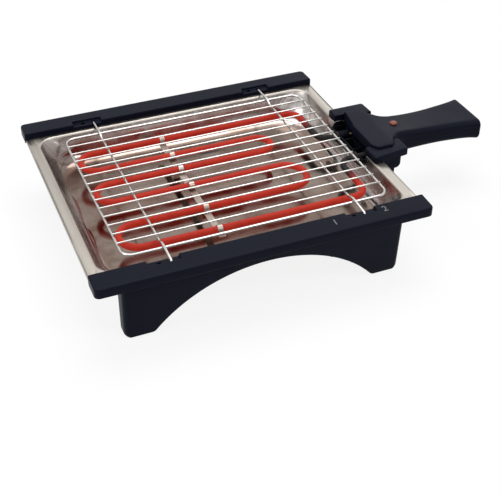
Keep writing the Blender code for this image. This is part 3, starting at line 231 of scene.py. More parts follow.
def closed_form(rings):
    """A closed skin over rings of points, with its first and last ring filled."""
    return surface(rings, wrap_columns=True, caps=True)


# %% Finish a mesh as a piece
def piece(name, meshes, finish, body, replaces=(), sharp=35, outward=True):
    """Joins meshes into one object, welds it, turns its faces out and hangs it on a body."""
    shape = bmesh.new()
    for mesh in meshes:
        shape.from_mesh(mesh)
        bpy.data.meshes.remove(mesh)
    bmesh.ops.remove_doubles(shape, verts=shape.verts, dist=2e-6)
    bmesh.ops.dissolve_degenerate(shape, edges=shape.edges, dist=1e-6)
    bmesh.ops.delete(shape, geom=[spot for spot in shape.verts if not spot.link_faces], context="VERTS")
    if outward:
        bmesh.ops.recalc_face_normals(shape, faces=shape.faces)
    joined = bpy.data.meshes.new(name)
    shape.to_mesh(joined)
    shape.free()
    joined.shade_smooth()
    joined.set_sharp_from_angle(angle=radians(sharp))
    joined.materials.append(finish)
    made = bpy.data.objects.new(name, joined)
    bpy.context.scene.collection.objects.link(made)
    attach(made, body)
    if replaces:
        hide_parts(*replaces)
    return made


# %% Rounded outlines
def quarter_turn(count):
    """Angles from 0 to a right angle, evenly spaced."""
    return np.linspace(0, pi / 2, count)


def rounded(corners, radii, steps=6):
    """A closed outline through corners, each turned into an arc of its own radius.

    An arc touches both sides of its corner at radius / tan(half the corner's angle).
    """
    corners = np.asarray(corners, float)
    radii = np.broadcast_to(np.asarray(radii, float), len(corners))
    before = np.roll(corners, 1, axis=0) - corners
    after = np.roll(corners, -1, axis=0) - corners
    before /= np.linalg.norm(before, axis=1)[:, None]
    after /= np.linalg.norm(after, axis=1)[:, None]
    half = np.arccos(np.clip((before * after).sum(1), -1, 1)) / 2
    middle = before + after
    middle /= np.linalg.norm(middle, axis=1)[:, None]
    centre = corners + middle * (radii / np.sin(half))[:, None]
    start = corners + before * (radii / np.tan(half))[:, None] - centre
    end = corners + after * (radii / np.tan(half))[:, None] - centre
    turn = np.linspace(0, 1, steps + 1)[None, :, None]
    sweep = (pi - 2 * half)[:, None, None]
    arc = (np.sin((1 - turn) * sweep) * start[:, None] + np.sin(turn * sweep) * end[:, None]) / np.sin(sweep)
    return (centre[:, None] + arc).reshape(-1, 2)


def grown(outline, distance):
    """An outline that runs counterclockwise, moved outwards by a distance at every point."""
    before = outline - np.roll(outline, 1, axis=0)
    after = np.roll(outline, -1, axis=0) - outline
    before /= np.linalg.norm(before, axis=1)[:, None] + 1e-12
    after /= np.linalg.norm(after, axis=1)[:, None] + 1e-12
    normal = np.column_stack([(before + after)[:, 1], -(before + after)[:, 0]])
    normal /= np.linalg.norm(normal, axis=1)[:, None]
    stretch = np.sqrt((1 + (before * after).sum(1)) / 2)
    return outline + normal * (distance / np.maximum(stretch, 0.3))[:, None]


def fillet(low, high, edge, steps=5):
    """Offsets and heights of a wall from low to high with a rounded top edge.

    The edge is a quarter circle: offset edge (cos t - 1), height high - edge (1 - sin t).
    """
    t = quarter_turn(steps + 1)
    offsets = np.concatenate([[0], edge * (np.cos(t) - 1)])
    heights = np.concatenate([[low], high - edge * (1 - np.sin(t))])
    return offsets, heights


def plate(outline, offsets, heights):
    """A closed plate: the outline is carried up through heights, moved by offsets."""
    rings = [
        np.column_stack([grown(outline, o), np.full(len(outline), h)]) for o, h in zip(offsets, heights)
    ]
    return closed_form(rings)


# %% Round bars and turned pieces
def along_runs(points, step=0.012):
    """Adds points to every long straight stretch of a path."""
    ahead = np.diff(points, axis=0)
    length = np.linalg.norm(ahead, axis=1)
    parts = np.maximum((length / step).astype(int), 1)
    share = np.concatenate([np.arange(n) / n for n in parts])
    start = np.repeat(np.arange(len(parts)), parts)
    return np.concatenate([points[start] + ahead[start] * share[:, None], points[-1:]])


def ends_repeated(rows, count):
    """Rows with the first and the last of them repeated."""
    return np.concatenate([np.repeat(rows[:1], count, 0), rows[1:-1], np.repeat(rows[-1:], count, 0)])


def tube(path, radius, sides=12, closed=False, domes=False):
    """A round bar: a circle carried along a path, square to its direction.

    At each point the circle lies in the plane of two axes: one is level and square to
    the path, the other completes the right angle. A dome shrinks the last rings as
    sqrt(1 - s * s) while they run on by s times the radius.
    """
    path = np.asarray(path, float)
    ahead = np.gradient(path, axis=0)
    if closed:
        ahead = np.roll(path, -1, axis=0) - np.roll(path, 1, axis=0)
    ahead /= np.linalg.norm(ahead, axis=1)[:, None]
    level = np.cross(ahead, [0.0, 0.0, 1.0])
    blank = np.linalg.norm(level, axis=1) < 0.2
    level[blank] = np.cross(ahead[blank], [1.0, 0.0, 0.0])
    level /= np.linalg.norm(level, axis=1)[:, None]
    rise = np.cross(level, ahead)
    size = np.full(len(path), float(radius))
    if domes:
        dome_steps = 5
        s = np.sin(np.linspace(pi / 2, 0, dome_steps))[:, None]
        front = path[0] - ahead[0] * radius * s
        back = path[-1] + ahead[-1] * radius * s[::-1]
        shrink = radius * np.sqrt(np.maximum(1 - s[:, 0] ** 2, 1e-4))
        path = np.concatenate([front, path[1:-1], back])
        level, rise = ends_repeated(level, dome_steps), ends_repeated(rise, dome_steps)
        size = np.concatenate([shrink, size[1:-1], shrink[::-1]])
    angle = np.linspace(0, 2 * pi, sides, endpoint=False)
    ring = level[:, None] * np.cos(angle)[None, :, None] + rise[:, None] * np.sin(angle)[None, :, None]
    steps = np.linalg.norm(np.diff(path, axis=0, append=path[:1] if closed else path[-1:]), axis=1)
    along = np.concatenate([[0], np.cumsum(steps)])[: len(path) + closed]
    grid = path[:, None] + ring * size[:, None, None]
    return surface(grid, wrap_rows=closed, wrap_columns=True, caps=not closed, along=along)


def turned(profile, foot, axis=(0, 0, 1), sides=24):
    """A turned piece: (radius, height) points carried round an axis that starts at foot."""
    profile = np.asarray(profile, float)
    axis = np.asarray(axis, float)
    side = np.cross(axis, [0.0, 1.0, 0.0])
    other = np.cross(axis, side)
    angle = np.linspace(0, 2 * pi, sides, endpoint=False)
    ring = side * np.cos(angle)[:, None] + other * np.sin(angle)[:, None]
    grid = np.asarray(foot) + profile[:, 1, None, None] * axis + profile[:, 0, None, None] * ring[None]
    return closed_form(grid)


# %% Boxes, cuts and smooth steps
def box_mesh(low, high):
    """A closed box as a grid: its outline in plan carried from its bottom to its top."""
    (x0, y0, z0), (x1, y1, z1) = low, high
    outline = np.array([(x0, y0), (x1, y0), (x1, y1), (x0, y1)])
    return closed_form([np.column_stack([outline, np.full(4, z)]) for z in (z0, z1)])


def carve(obj, cutters, operation="DIFFERENCE"):
    """Takes closed meshes out of a piece, or adds them, and keeps the result as its mesh.

    Small holes that the cut leaves are filled, and edges over 40 degrees are sharp.
    """
    tools = []
    for number, mesh in enumerate(cutters):
        shape = bmesh.new()
        shape.from_mesh(mesh)
        bmesh.ops.recalc_face_normals(shape, faces=shape.faces)
        shape.to_mesh(mesh)
        shape.free()
        tool = bpy.data.objects.new(f"tool_{number}", mesh)
        bpy.context.scene.collection.objects.link(tool)
        step = obj.modifiers.new("carve", "BOOLEAN")
        step.operation, step.solver, step.object = operation, "EXACT", tool
        tools.append(tool)
    depsgraph = bpy.context.evaluated_depsgraph_get()
    made = bpy.data.meshes.new_from_object(obj.evaluated_get(depsgraph))
    shape = bmesh.new()
    shape.from_mesh(made)
    bmesh.ops.holes_fill(shape, edges=shape.edges, sides=4)
    shape.to_mesh(made)
    shape.free()
    made.set_sharp_from_angle(angle=radians(40))
    obj.modifiers.clear()
    obj.data = made
    for tool in tools:
        bpy.data.objects.remove(tool)
    return obj


def ease(value):
    """A smooth step from 0 to 1: 3 s squared minus 2 s cubed."""
    s = np.clip(value, 0, 1)
    return s * s * (3 - 2 * s)


print("tools ready: surface, piece, rounded, grown, fillet, plate, tube, turned, carve")

# %% [markdown]
# ## Finishes
# Effects that several finishes share are node groups, built once: fine moulded
# grain, brushed lines, smudges, and the straw, brown and blue film that heat
# leaves on bright steel. A group gives only colours, masks and heights; the
# shader itself stays in each material, and a value that is the same all over a
# surface is set on the shader's own socket.

# %% Build a shader node group
def node_group(name, inputs, outputs):
    """An empty group with named float or colour sockets, and its two end nodes."""
    group = bpy.data.node_groups.new(name, "ShaderNodeTree")
    kinds = {"value": "NodeSocketFloat", "colour": "NodeSocketColor", "vector": "NodeSocketVector"}
    for label, kind, default in inputs:
        socket = group.interface.new_socket(label, in_out="INPUT", socket_type=kinds[kind])
        if default is not None:
            socket.default_value = default
    for label, kind in outputs:
        group.interface.new_socket(label, in_out="OUTPUT", socket_type=kinds[kind])
    return group, group.nodes.new("NodeGroupInput"), group.nodes.new("NodeGroupOutput")


def noise(tree, vector, scale, detail=3.0, roughness=0.55):
    """A noise node read at a vector."""
    node = tree.nodes.new("ShaderNodeTexNoise")
    node.inputs["Scale"].default_value = scale
    node.inputs["Detail"].default_value = detail
    node.inputs["Roughness"].default_value = roughness
    if vector is not None:
        tree.links.new(vector, node.inputs["Vector"])
    return node


def span(tree, value, low, high, start, end):
    """A value from one range carried to another, kept within it."""
    node = tree.nodes.new("ShaderNodeMapRange")
    for label, number in (("From Min", low), ("From Max", high), ("To Min", start), ("To Max", end)):
        node.inputs[label].default_value = number
    tree.links.new(value, node.inputs["Value"])
    return node.outputs["Result"]


def reckon(tree, operation, first, second):
    """A math node of two values or sockets."""
    node = tree.nodes.new("ShaderNodeMath")
    node.operation = operation
    for socket, value in zip(node.inputs, (first, second)):
        if isinstance(value, (int, float)):
            socket.default_value = value
        else:
            tree.links.new(value, socket)
    return node.outputs[0]


def blend(tree, factor, first, second, mode="MIX"):
    """A colour between two colours or sockets."""
    node = tree.nodes.new("ShaderNodeMix")
    node.data_type = "RGBA"
    node.blend_type = mode
    for label, value in (("Factor", factor), ("A", first), ("B", second)):
        socket = [s for s in node.inputs if s.name == label and s.enabled][0]
        if isinstance(value, (int, float)):
            socket.default_value = value
        elif isinstance(value, tuple):
            socket.default_value = (*value, 1.0)
        else:
            tree.links.new(value, socket)
    return [s for s in node.outputs if s.enabled][0]


def place_on_object(tree, stretch=(1.0, 1.0, 1.0)):
    """Object coordinates, stretched along the axes."""
    coordinates = tree.nodes.new("ShaderNodeTexCoord")
    mapping = tree.nodes.new("ShaderNodeMapping")
    mapping.inputs["Scale"].default_value = stretch
    tree.links.new(coordinates.outputs["Object"], mapping.inputs["Vector"])
    return mapping.outputs["Vector"]


def start_finish(name):
    """A new material, its nodes, its Principled shader and the object's own coordinates."""
    finish = new_material(name)
    tree = finish.node_tree
    return finish, tree, tree.nodes["Principled BSDF"], place_on_object(tree)


def use_group(tree, group, **values):
    """Places a group in a tree, with its values."""
    node = tree.nodes.new("ShaderNodeGroup")
    node.node_tree = group
    for label, value in values.items():
        socket = node.inputs[label.replace("_", " ")]
        if isinstance(value, bpy.types.NodeSocket):
            tree.links.new(value, socket)
        else:
            socket.default_value = value
    return node


def bump(tree, shader, height, strength, distance):
    """A bump that feeds the shader's normal."""
    node = tree.nodes.new("ShaderNodeBump")
    node.inputs["Strength"].default_value = strength
    node.inputs["Distance"].default_value = distance
    tree.links.new(height, node.inputs["Height"])
    tree.links.new(node.outputs["Normal"], shader.inputs["Normal"])


# %% [markdown]
# ### Moulded grain
# Spark-eroded moulds leave a fine, even grain of tiny cells, about a third of a
# millimetre wide. A slower noise lets it shine a little more in some places.

# %% Group the moulded grain
grain, start, end = node_group(
    "moulded_grain",
    [("Vector", "vector", None), ("Size", "value", 3000.0)],
    [("Height", "value"), ("Patches", "value")],
)
cells = noise(grain, start.outputs["Vector"], 1.0, 2.0, 0.6)
grain.links.new(start.outputs["Size"], cells.inputs["Scale"])
grain.links.new(cells.outputs["Fac"], end.inputs["Height"])
grain.links.new(noise(grain, start.outputs["Vector"], 14.0, 4.0).outputs["Fac"], end.inputs["Patches"])

# %% [markdown]
# ### Brushed lines
# A belt leaves long scratches, all in one direction: noise that is squeezed
# across the lines and pulled out along them.

# %% Group the brushed lines
brushed, start, end = node_group(
    "brushed_lines",
    [("Vector", "vector", None), ("Fine", "value", 2600.0)],
    [("Height", "value"), ("Shine", "value")],
)
lines = noise(brushed, start.outputs["Vector"], 1.0, 4.0, 0.7)
brushed.links.new(start.outputs["Fine"], lines.inputs["Scale"])
brushed.links.new(lines.outputs["Fac"], end.inputs["Height"])
slow = noise(brushed, start.outputs["Vector"], 240.0, 2.0)
brushed.links.new(slow.outputs["Fac"], end.inputs["Shine"])

# %% [markdown]
# ### Smudges and dust
# Hands and cloths leave faint clouds that change the gloss more than the colour.

# %% Group the smudges
smudges, start, end = node_group(
    "smudges",
    [("Vector", "vector", None), ("Amount", "value", 0.5)],
    [("Mask", "value")],
)
clouds = noise(smudges, start.outputs["Vector"], 9.0, 5.0, 0.62)
wipes = noise(smudges, start.outputs["Vector"], 38.0, 3.0, 0.5)
both = reckon(smudges, "MULTIPLY", clouds.outputs["Fac"], wipes.outputs["Fac"])
smudges.links.new(
    reckon(smudges, "MULTIPLY", span(smudges, both, 0.16, 0.42, 0.0, 1.0), start.outputs["Amount"]),
    end.inputs["Mask"],
)

# %% [markdown]
# ### Heat film
# Steel that has been hot carries an oxide film. It is straw where it stayed
# cooler, then brown and violet, then blue-grey. A strength runs through a colour
# ramp, shifted by noise so that the bands wander.

# %% Group the heat film
heat_film, start, end = node_group(
    "heat_film",
    [("Vector", "vector", None), ("Heat", "value", 0.0)],
    [("Tint", "colour"), ("Mask", "value")],
)
wander = span(
    heat_film, noise(heat_film, start.outputs["Vector"], 26.0, 4.0, 0.6).outputs["Fac"], 0.25, 0.75,
    -0.22, 0.22,
)
heat = reckon(heat_film, "ADD", start.outputs["Heat"], wander)
bands = heat_film.nodes.new("ShaderNodeValToRGB")
film = ((0.0, (0.34, 0.31, 0.28)), (0.3, (0.27, 0.19, 0.14)), (0.55, (0.18, 0.10, 0.072)),
        (0.75, (0.17, 0.10, 0.09)), (1.0, (0.13, 0.12, 0.14)))
while len(bands.color_ramp.elements) < len(film):
    bands.color_ramp.elements.new(0.5)
for element, (position, colour) in zip(bands.color_ramp.elements, film):
    element.position = position
    element.color = (*colour, 1.0)
heat_film.links.new(heat, bands.inputs["Fac"])
heat_film.links.new(bands.outputs["Color"], end.inputs["Tint"])
heat_film.links.new(span(heat_film, heat, 0.05, 0.6, 0.0, 1.0), end.inputs["Mask"])
print("groups:", [group.name for group in (grain, brushed, smudges, heat_film)])

# %% [markdown]
# ### Blue-black plastic
# The rails, legs, holder and handle are moulded in one heat-proof plastic. It is
# nearly black with some blue in it, and satin: its grain blurs the soft boxes, so
# the tops look slate and the sides stay dark. Handled spots shine a little more.

# %% Make the plastics
def moulded(name, colour, pale, rough, size=2600.0, height=0.00006, mirror=0.5):
    """Satin plastic: grain in the bump, patches in the gloss, smudges in both."""
    finish, tree, shader, vector = start_finish(name)
    skin = use_group(tree, grain, Vector=vector, Size=size)
    dirt = use_group(tree, smudges, Vector=vector, Amount=0.6)
    mask = reckon(tree, "MULTIPLY", skin.outputs["Patches"], 0.7)
    tint = blend(tree, mask, colour, pale)
    tree.links.new(
        blend(tree, reckon(tree, "MULTIPLY", dirt.outputs["Mask"], 0.25), tint, pale),
        shader.inputs["Base Color"],
    )
    base = span(tree, skin.outputs["Patches"], 0.3, 0.7, rough - 0.05, rough + 0.06)
    tree.links.new(
        reckon(tree, "SUBTRACT", base, reckon(tree, "MULTIPLY", dirt.outputs["Mask"], 0.08)),
        shader.inputs["Roughness"],
    )
    shader.inputs["Specular IOR Level"].default_value = mirror
    bump(tree, shader, skin.outputs["Height"], 0.5, height)
    return finish


black_plastic = moulded(
    "blue_black_plastic", (0.0045, 0.0057, 0.0124), (0.0064, 0.0078, 0.0160), 0.40, mirror=0.045
)
dark_resin = moulded(
    "heat_proof_resin", (0.0036, 0.0044, 0.0074), (0.0060, 0.0070, 0.0104), 0.55, 1800.0, mirror=0.05
)
soft_rubber = moulded(
    "foot_rubber", (0.010, 0.010, 0.011), (0.018, 0.018, 0.019), 0.85, 1500.0, 0.0001, 0.15
)
print("plastics:", black_plastic.name, dark_resin.name, soft_rubber.name)

# %% [markdown]
# ### Stainless sheet
# The tray is pressed from bright stainless. Its flat rim was belted, so it is
# silky and warm grey, while the drawn pan stayed mirror bright and mirrors the
# red tube and the white room in streaks. Its floor is painted darker than its
# walls, a painted reflection of a darker room. Round the tube the steel has a
# brown film that is partly a real heat film and partly painted reflection, brown
# streaks down the walls are a painted reflection of the red tube, and the pan is
# darker towards its back left corner.
# The height on the object tells rim from pan.

# %% Make the stainless
def height_mask(tree, low, high):
    """A value that goes from 0 at one height above the table to 1 at another."""
    coordinates = tree.nodes.new("ShaderNodeTexCoord")
    split = tree.nodes.new("ShaderNodeSeparateXYZ")
    tree.links.new(coordinates.outputs["Object"], split.inputs["Vector"])
    return span(tree, split.outputs["Z"], low, high, 0.0, 1.0)


stainless, tree, shader, vector = start_finish("drawn_stainless")
rim_share = height_mask(tree, origin[2] - 0.0016, origin[2] - 0.0004)
lines = use_group(tree, brushed, Vector=place_on_object(tree, (1.0, 0.02, 1.0)), Fine=2200.0)
dirt = use_group(tree, smudges, Vector=vector, Amount=1.0)
floor_share = height_mask(tree, origin[2] - 0.0295, origin[2] - 0.0338)
# The brown film on the pan's floor is partly a real heat film and partly painted reflection.
heat = use_group(tree, heat_film, Vector=vector, Heat=reckon(tree, "MULTIPLY", floor_share, 0.50))
# The pan's floor is painted darker than its walls, a painted reflection of a darker room than the white one.
steel_with_painted_dark_floor = blend(tree, floor_share, (0.46, 0.440, 0.425), (0.26, 0.228, 0.208))
pan_colour = blend(tree, reckon(tree, "MULTIPLY", heat.outputs["Mask"], 0.85), steel_with_painted_dark_floor, heat.outputs["Tint"])
# Brown streaks down the pan's walls are a painted reflection of the red tube.
track = tree.nodes.new("ShaderNodeUVMap")
track.uv_map = "surface"
round_the_wall = tree.nodes.new("ShaderNodeMapping")
round_the_wall.inputs["Scale"].default_value = (1.0, 60.0, 1.0)
tree.links.new(track.outputs["UV"], round_the_wall.inputs["Vector"])
painted_reflection_streaks = span(
    tree, noise(tree, round_the_wall.outputs["Vector"], 1.0, 3.0).outputs["Fac"], 0.46, 0.70, 0.0, 0.60
)
wall_share = height_mask(tree, origin[2] - 0.026, origin[2] - 0.012)
pan_colour = blend(tree, reckon(tree, "MULTIPLY", painted_reflection_streaks, wall_share), pan_colour, (0.17, 0.105, 0.085))
# The pan is darker towards its back left corner.
to_corner = tree.nodes.new("ShaderNodeVectorMath")
to_corner.operation = "DISTANCE"
tree.links.new(vector, to_corner.inputs[0])
to_corner.inputs[1].default_value = (origin[0] - 0.150, 0.112, origin[2] - 0.020)
darkened = span(tree, to_corner.outputs["Value"], 0.060, 0.015, 0.0, 0.70)
pan_colour = blend(tree, darkened, pan_colour, (0.13, 0.070, 0.052))
rim_colour = blend(tree, lines.outputs["Shine"], (0.315, 0.289, 0.258), (0.395, 0.364, 0.329))
tree.links.new(blend(tree, rim_share, pan_colour, rim_colour), shader.inputs["Base Color"])
shader.inputs["Metallic"].default_value = 1.0
rim_rough = span(tree, lines.outputs["Shine"], 0.3, 0.7, 0.30, 0.40)
pan_rough = reckon(
    tree, "ADD", span(tree, dirt.outputs["Mask"], 0.0, 1.0, 0.10, 0.26),
    reckon(tree, "MULTIPLY", wall_share, 0.09),
)
rough = tree.nodes.new("ShaderNodeMix")
tree.links.new(rim_share, rough.inputs["Factor"])
tree.links.new(pan_rough, rough.inputs["A"])
tree.links.new(rim_rough, rough.inputs["B"])
tree.links.new(rough.outputs["Result"], shader.inputs["Roughness"])
bump(tree, shader, lines.outputs["Height"], 0.12, 0.00002)
print("stainless rim starts at", round(1000 * (origin[2] - 0.0016), 1), "mm")

# %% [markdown]
# ## The drip tray
# The tray is one sheet, drawn in a press: a wide flat rim, a small round where
# it turns down, sloping walls with generous corners, and a flat floor. It could
# be bevelled from a box, but a drawn sheet is really a profile that runs round a
# rounded rectangle whose corners change with depth, so it is made as just that.
# The rim's edge is turned down for stiffness, and a notch in the right wall lets
# the terminal block of the control unit through.

# %% Press the tray
sheet_thick = 0.0008
tray_half = np.array([0.3835, 0.3350]) / 2
pan_half = np.array([0.3585, 0.2820]) / 2
notch_front, notch_back, notch_deep = 0.0415, 0.0448, 0.0160
pan_deep, draft, floor_round, lip = 0.0340, 0.0120, 0.0160, 0.0020
top_corner, low_corner = 0.0205, 0.0400


def ring_of(half, radius, height, side_steps=14, corner_steps=14):
    """A rounded rectangle at a height, from its lower right corner counterclockwise.

    Along the right side the points stand at fixed places, the notch's edges among them.
    """
    turn = np.linspace(0, pi / 2, corner_steps, endpoint=False)
    pieces = []
    for quarter, (sx, sy) in enumerate(((1, -1), (1, 1), (-1, 1), (-1, -1))):
        angle = turn - pi / 2 + quarter * pi / 2
        centre = np.array([sx, sy]) * (half - radius)
        pieces.append(centre + radius * np.column_stack([np.cos(angle), np.sin(angle)]))
        end = angle[-1] + turn[1] - turn[0]
        start = centre + radius * np.array([np.cos(end), np.sin(end)])
        nx, ny = ((1, 1), (-1, 1), (-1, -1), (1, -1))[quarter]
        nxt = np.array([nx, ny]) * (half - radius)
        stop = nxt + radius * np.array([np.cos(end), np.sin(end)])
        share = np.linspace(0, 1, side_steps, endpoint=False)
        side = start + (stop - start) * share[:, None]
        if quarter == 0:
            front, back = min(notch_front, 0.8 * stop[1]), min(notch_back, 0.8 * stop[1])
            below, across, above = (
                np.linspace(*ends)
                for ends in ((start[1], -front, 4), (-front, back, 8), (back, stop[1], 5))
            )
            side[:, 1] = np.concatenate([below[:3], across, above[1:4]])
        pieces.append(side)
    ring = np.concatenate(pieces)
    return np.column_stack([ring, np.full(len(ring), height)])


rows = [(0.0, 0.0040, -0.0018), (0.0, 0.0040, -0.0009)]
rows += [
    (0.0009 * (1 - np.cos(t)), 0.0040, -0.0009 * (1 - np.sin(t)))
    for t in np.linspace(pi / 8, pi / 2, 4)
]
rings = [ring_of(tray_half - inset, radius - inset, height) for inset, radius, height in rows]
share_down = np.array([0.02, 0.5, 0.97])
for share in share_down:
    rings.append(ring_of(tray_half + (pan_half + lip - tray_half) * share, 0.0040 + 0.018 * share, 0.0))
slope = np.arctan2(draft, pan_deep)
for t in np.linspace(0, pi / 2 - slope, 7):
    out = lip * (1 - np.sin(t))
    rings.append(ring_of(pan_half + out, 0.020 + out, -lip * (1 - np.cos(t))))
wall_top = lip * (1 - np.cos(pi / 2 - slope))
for depth in (0.006, 0.011, notch_deep, pan_deep - floor_round):
    radius = top_corner + (low_corner - top_corner) * depth / (pan_deep - floor_round)
    rings.append(ring_of(pan_half - draft * (depth - wall_top) / pan_deep, radius, -depth))
foot = draft * (pan_deep - floor_round - wall_top) / pan_deep
for t in np.linspace(slope, pi / 2, 9)[1:]:
    inward = floor_round * (np.cos(slope) - np.cos(t)) / np.cos(slope)
    fall = floor_round * (np.sin(t) - np.sin(slope)) / (1 - np.sin(slope))
    rings.append(ring_of(pan_half - foot - inward, low_corner, -(pan_deep - floor_round) - fall))
floor_half = pan_half - foot - inward
for inset in (0.004, 0.012, 0.030, 0.055, 0.085, floor_half[1]):
    rings.append(ring_of(floor_half - inset, max(low_corner - inset, 0.0), -pan_deep))
grid = np.array(rings)
above_notch = grid[1:, 0, 2][:, None] > -notch_deep - 1e-6
right = grid[:-1, :, 0] > pan_half[0] - 0.03
middle_y = (grid[:-1, :, 1] + np.roll(grid[:-1, :, 1], -1, axis=1)) / 2
keep = ~(above_notch & right & (middle_y > 1e-4 - notch_front) & (middle_y < notch_back - 1e-4))
tray_mesh = surface(grid, wrap_columns=True, keep=keep)
tray = piece("drip_tray", [tray_mesh], stainless, "base", ("tray",), outward=False)
wall = tray.modifiers.new("sheet", "SOLIDIFY")
wall.thickness = sheet_thick
wall.offset = -1.0
print("tray rows and columns:", grid.shape[:2], "quads left out for the notch:", int((~keep).sum()))

# %% [markdown]
# ## The side rails
# Each rail is a long moulding that caps the rim: a flat top that slopes a little
# outwards, a lip that hangs over the rim's edge, rounded ends, and two pockets on
# its inner side where the rack's wires rest. A box with bevels could do it, but
# one cross-section that changes along the rail gives clean rounds and real
# pockets, so the section is worked out for every place along X at once.

# %% Mould the rails
rail_half, rail_inner, rail_outer = 0.1934, 0.1469, 0.1747
rail_top, rail_fall, rail_lip, rail_edge = 0.0088, 0.0009, 0.0035, 0.0019
outer_round, inner_round = 0.0060, 0.0016
seat_out, seat_half, seat_gap = 0.1678, 0.19205, 0.0003
pocket_middle, pocket_half, pocket_wall, pocket_floor = 0.1138, 0.0178, 0.1563, 0.0052
slot_middle, slot_shift, slot_line = 0.11215, 0.0067, 0.1526


def rail_height(y):
    """Height of the rail's top, which falls evenly from its inner to its outer side."""
    return rail_top - rail_fall / (rail_outer - rail_inner) * (y - rail_inner)


def rail_sections(x):
    """Points (y, z) of the rail's section at each x, from the lip round over the top.

    The section is drawn for a plain rail and for a pocket, and the two are blended
    over the pocket's ends. Towards each end of the rail the section closes in by
    quarter circles, a large one outside and a small one on the tray's side, which
    rounds the ends in plan, and its top edge follows.
    """
    t = quarter_turn(6)
    lift = rail_top - rail_fall
    edge = rail_edge
    lip_round = 0.0010
    from_lip, from_top = 1 - np.sin(t), 1 - np.cos(t)
    lower = np.column_stack([rail_outer - lip_round * from_lip, -rail_lip + lip_round * from_top])
    upper = np.column_stack([rail_outer - edge * (1 - np.cos(t)), lift - edge * (1 - np.sin(t))])
    top_y = np.linspace(rail_outer - edge - 0.002, pocket_wall + 0.0012, 7)
    top = np.column_stack([top_y, rail_height(top_y)])
    brink = 0.0008
    wall_y = pocket_wall + brink * (1 - np.sin(t))
    wall_z = rail_height(pocket_wall) - brink * (1 - np.cos(t))
    floor_y = np.linspace(pocket_wall, rail_inner + 0.0008, 9)
    inner = np.column_stack([rail_inner + 0.0008 * (1 - np.sin(t)), pocket_floor - 0.0008 * (1 - np.cos(t))])
    wall = np.column_stack([wall_y, wall_z])
    floor_line = np.column_stack([floor_y[1:], np.full(8, pocket_floor)])
    pocket = np.concatenate([wall, [[pocket_wall, pocket_floor + 0.0006]], floor_line, inner[1:]])
    count = len(pocket)
    inner_edge = 0.0014
    plain_y = np.linspace(wall_y[0], rail_inner + inner_edge, count - 5)
    round_over = np.column_stack([rail_inner + inner_edge * from_lip, rail_top - inner_edge * from_top])
    plain = np.concatenate([np.column_stack([plain_y, rail_height(plain_y)]), round_over[1:]])
    tail = np.array([[rail_inner, seat_gap], [seat_out, seat_gap], [seat_out, -rail_lip]])
    share = ease((pocket_half + 0.0005 - np.abs(np.abs(x) - pocket_middle)) / 0.0010)[:, None, None]
    middle = plain + (pocket - plain) * share
    head = np.broadcast_to(np.concatenate([lower, upper, top]), (len(x), 12 + len(top), 2))
    foot = np.broadcast_to(tail, (len(x), 3, 2)).copy()
    past_seat = np.abs(x) > seat_half
    foot[past_seat, 0, 1] = foot[past_seat, 1, 1] = -rail_lip
    section = np.concatenate([head, middle, foot], axis=1)
    close_out, close_in = (
        r * (1 - np.sqrt(1 - np.clip((np.abs(x) - rail_half + r) / r, 0, 1) ** 2))
        for r in (outer_round, inner_round)
    )
    width = rail_outer - rail_inner
    across = (section[..., 0] - rail_inner) / width
    section[..., 0] = (rail_inner + close_in)[:, None] + across * (width - close_out - close_in)[:, None]
    into_edge = np.clip((np.abs(x) - (rail_half - edge)) / edge, 0, 1)
    sink = edge * (1 - np.sqrt(1 - into_edge ** 2))
    upward = np.clip(section[..., 1] / rail_top, 0, 1)
    section[..., 1] -= sink[:, None] * upward
    return section


def rail_places():
    """Places along X, closer together at the pockets' ends and at the rail's ends."""
    t = quarter_turn(12)
    outer_end = rail_half - outer_round * (1 - np.sin(t))
    inner_end = rail_half - inner_round * (1 - np.sin(t[5:]))
    round_step = np.array([-0.0006, -0.00025, 0, 0.00025, 0.0006])
    near, far = pocket_middle - pocket_half + round_step, pocket_middle + pocket_half + round_step
    before, inside, after = np.linspace(0, 0.09, 7), np.linspace(0.1, 0.128, 4), np.linspace(0.14, 0.186, 4)
    seat_end = [seat_half - 1e-5, seat_half + 1e-5, rail_half - 0.0005]
    half = np.concatenate([before, near, inside, far, after, outer_end, inner_end, seat_end])
    half = np.unique(np.round(half, 6))
    return np.concatenate([-half[:0:-1], half])


places = rail_places()
sections = rail_sections(places)
grid = np.concatenate([np.broadcast_to(places[:, None, None], sections.shape[:2] + (1,)), sections], axis=2)
for name, side in (("back_rail", 1), ("front_rail", -1)):
    turned_grid = grid * np.array([side, side, 1])
    obj = piece(
        name + "_moulding", [closed_form(turned_grid)], black_plastic, "base", (name,),
        sharp=40,
    )
    slots = []
    for hand in (-1, 1):
        for shift in (-slot_shift, slot_shift):
            x = hand * slot_middle + shift
            cuts = [((x - 0.0022, slot_line - 0.0023, 0.0006), (x + 0.0022, slot_line + 0.0023, 0.0070))]
            if side * shift > 0:
                cuts.append(((x - 0.0020, rail_inner - 0.0010, 0.0031), (x + 0.0020, slot_line, 0.0070)))
            for low, high in cuts:
                if side < 0:
                    low, high = (-high[0], -high[1], low[2]), (-low[0], -low[1], high[2])
                slots.append(box_mesh(low, high))
    carve(obj, slots)
    print(name, "faces:", len(obj.data.polygons))

# %% [markdown]
# ## The legs
# Under each rail stands one long moulding, an arch with a foot at each end. It is
# a shell: a face that leans in towards the floor, walls all round it, and an open
# back with ribs and screw bosses. The outline of the arch and the feet is drawn
# once; its rings then go out over the rounded edge, back along the wall, round
# the wall's thickness and up the inside again.

# %% Outline of an arched leg
leg_half, leg_bottom, leg_top, table_level = 0.1633, -0.0792, -0.0014, -0.0800
boss_spots = (-0.080, 0.0, 0.080)
face_top, face_lean, leg_back, leg_wall = 0.1648, 0.0053, 0.1444, 0.0030
arch_radius, arch_top = 0.1687, 0.0182
outer_corner, inner_corner = 0.0068, 0.0070
well_radius, well_above = 0.0031, 0.0050


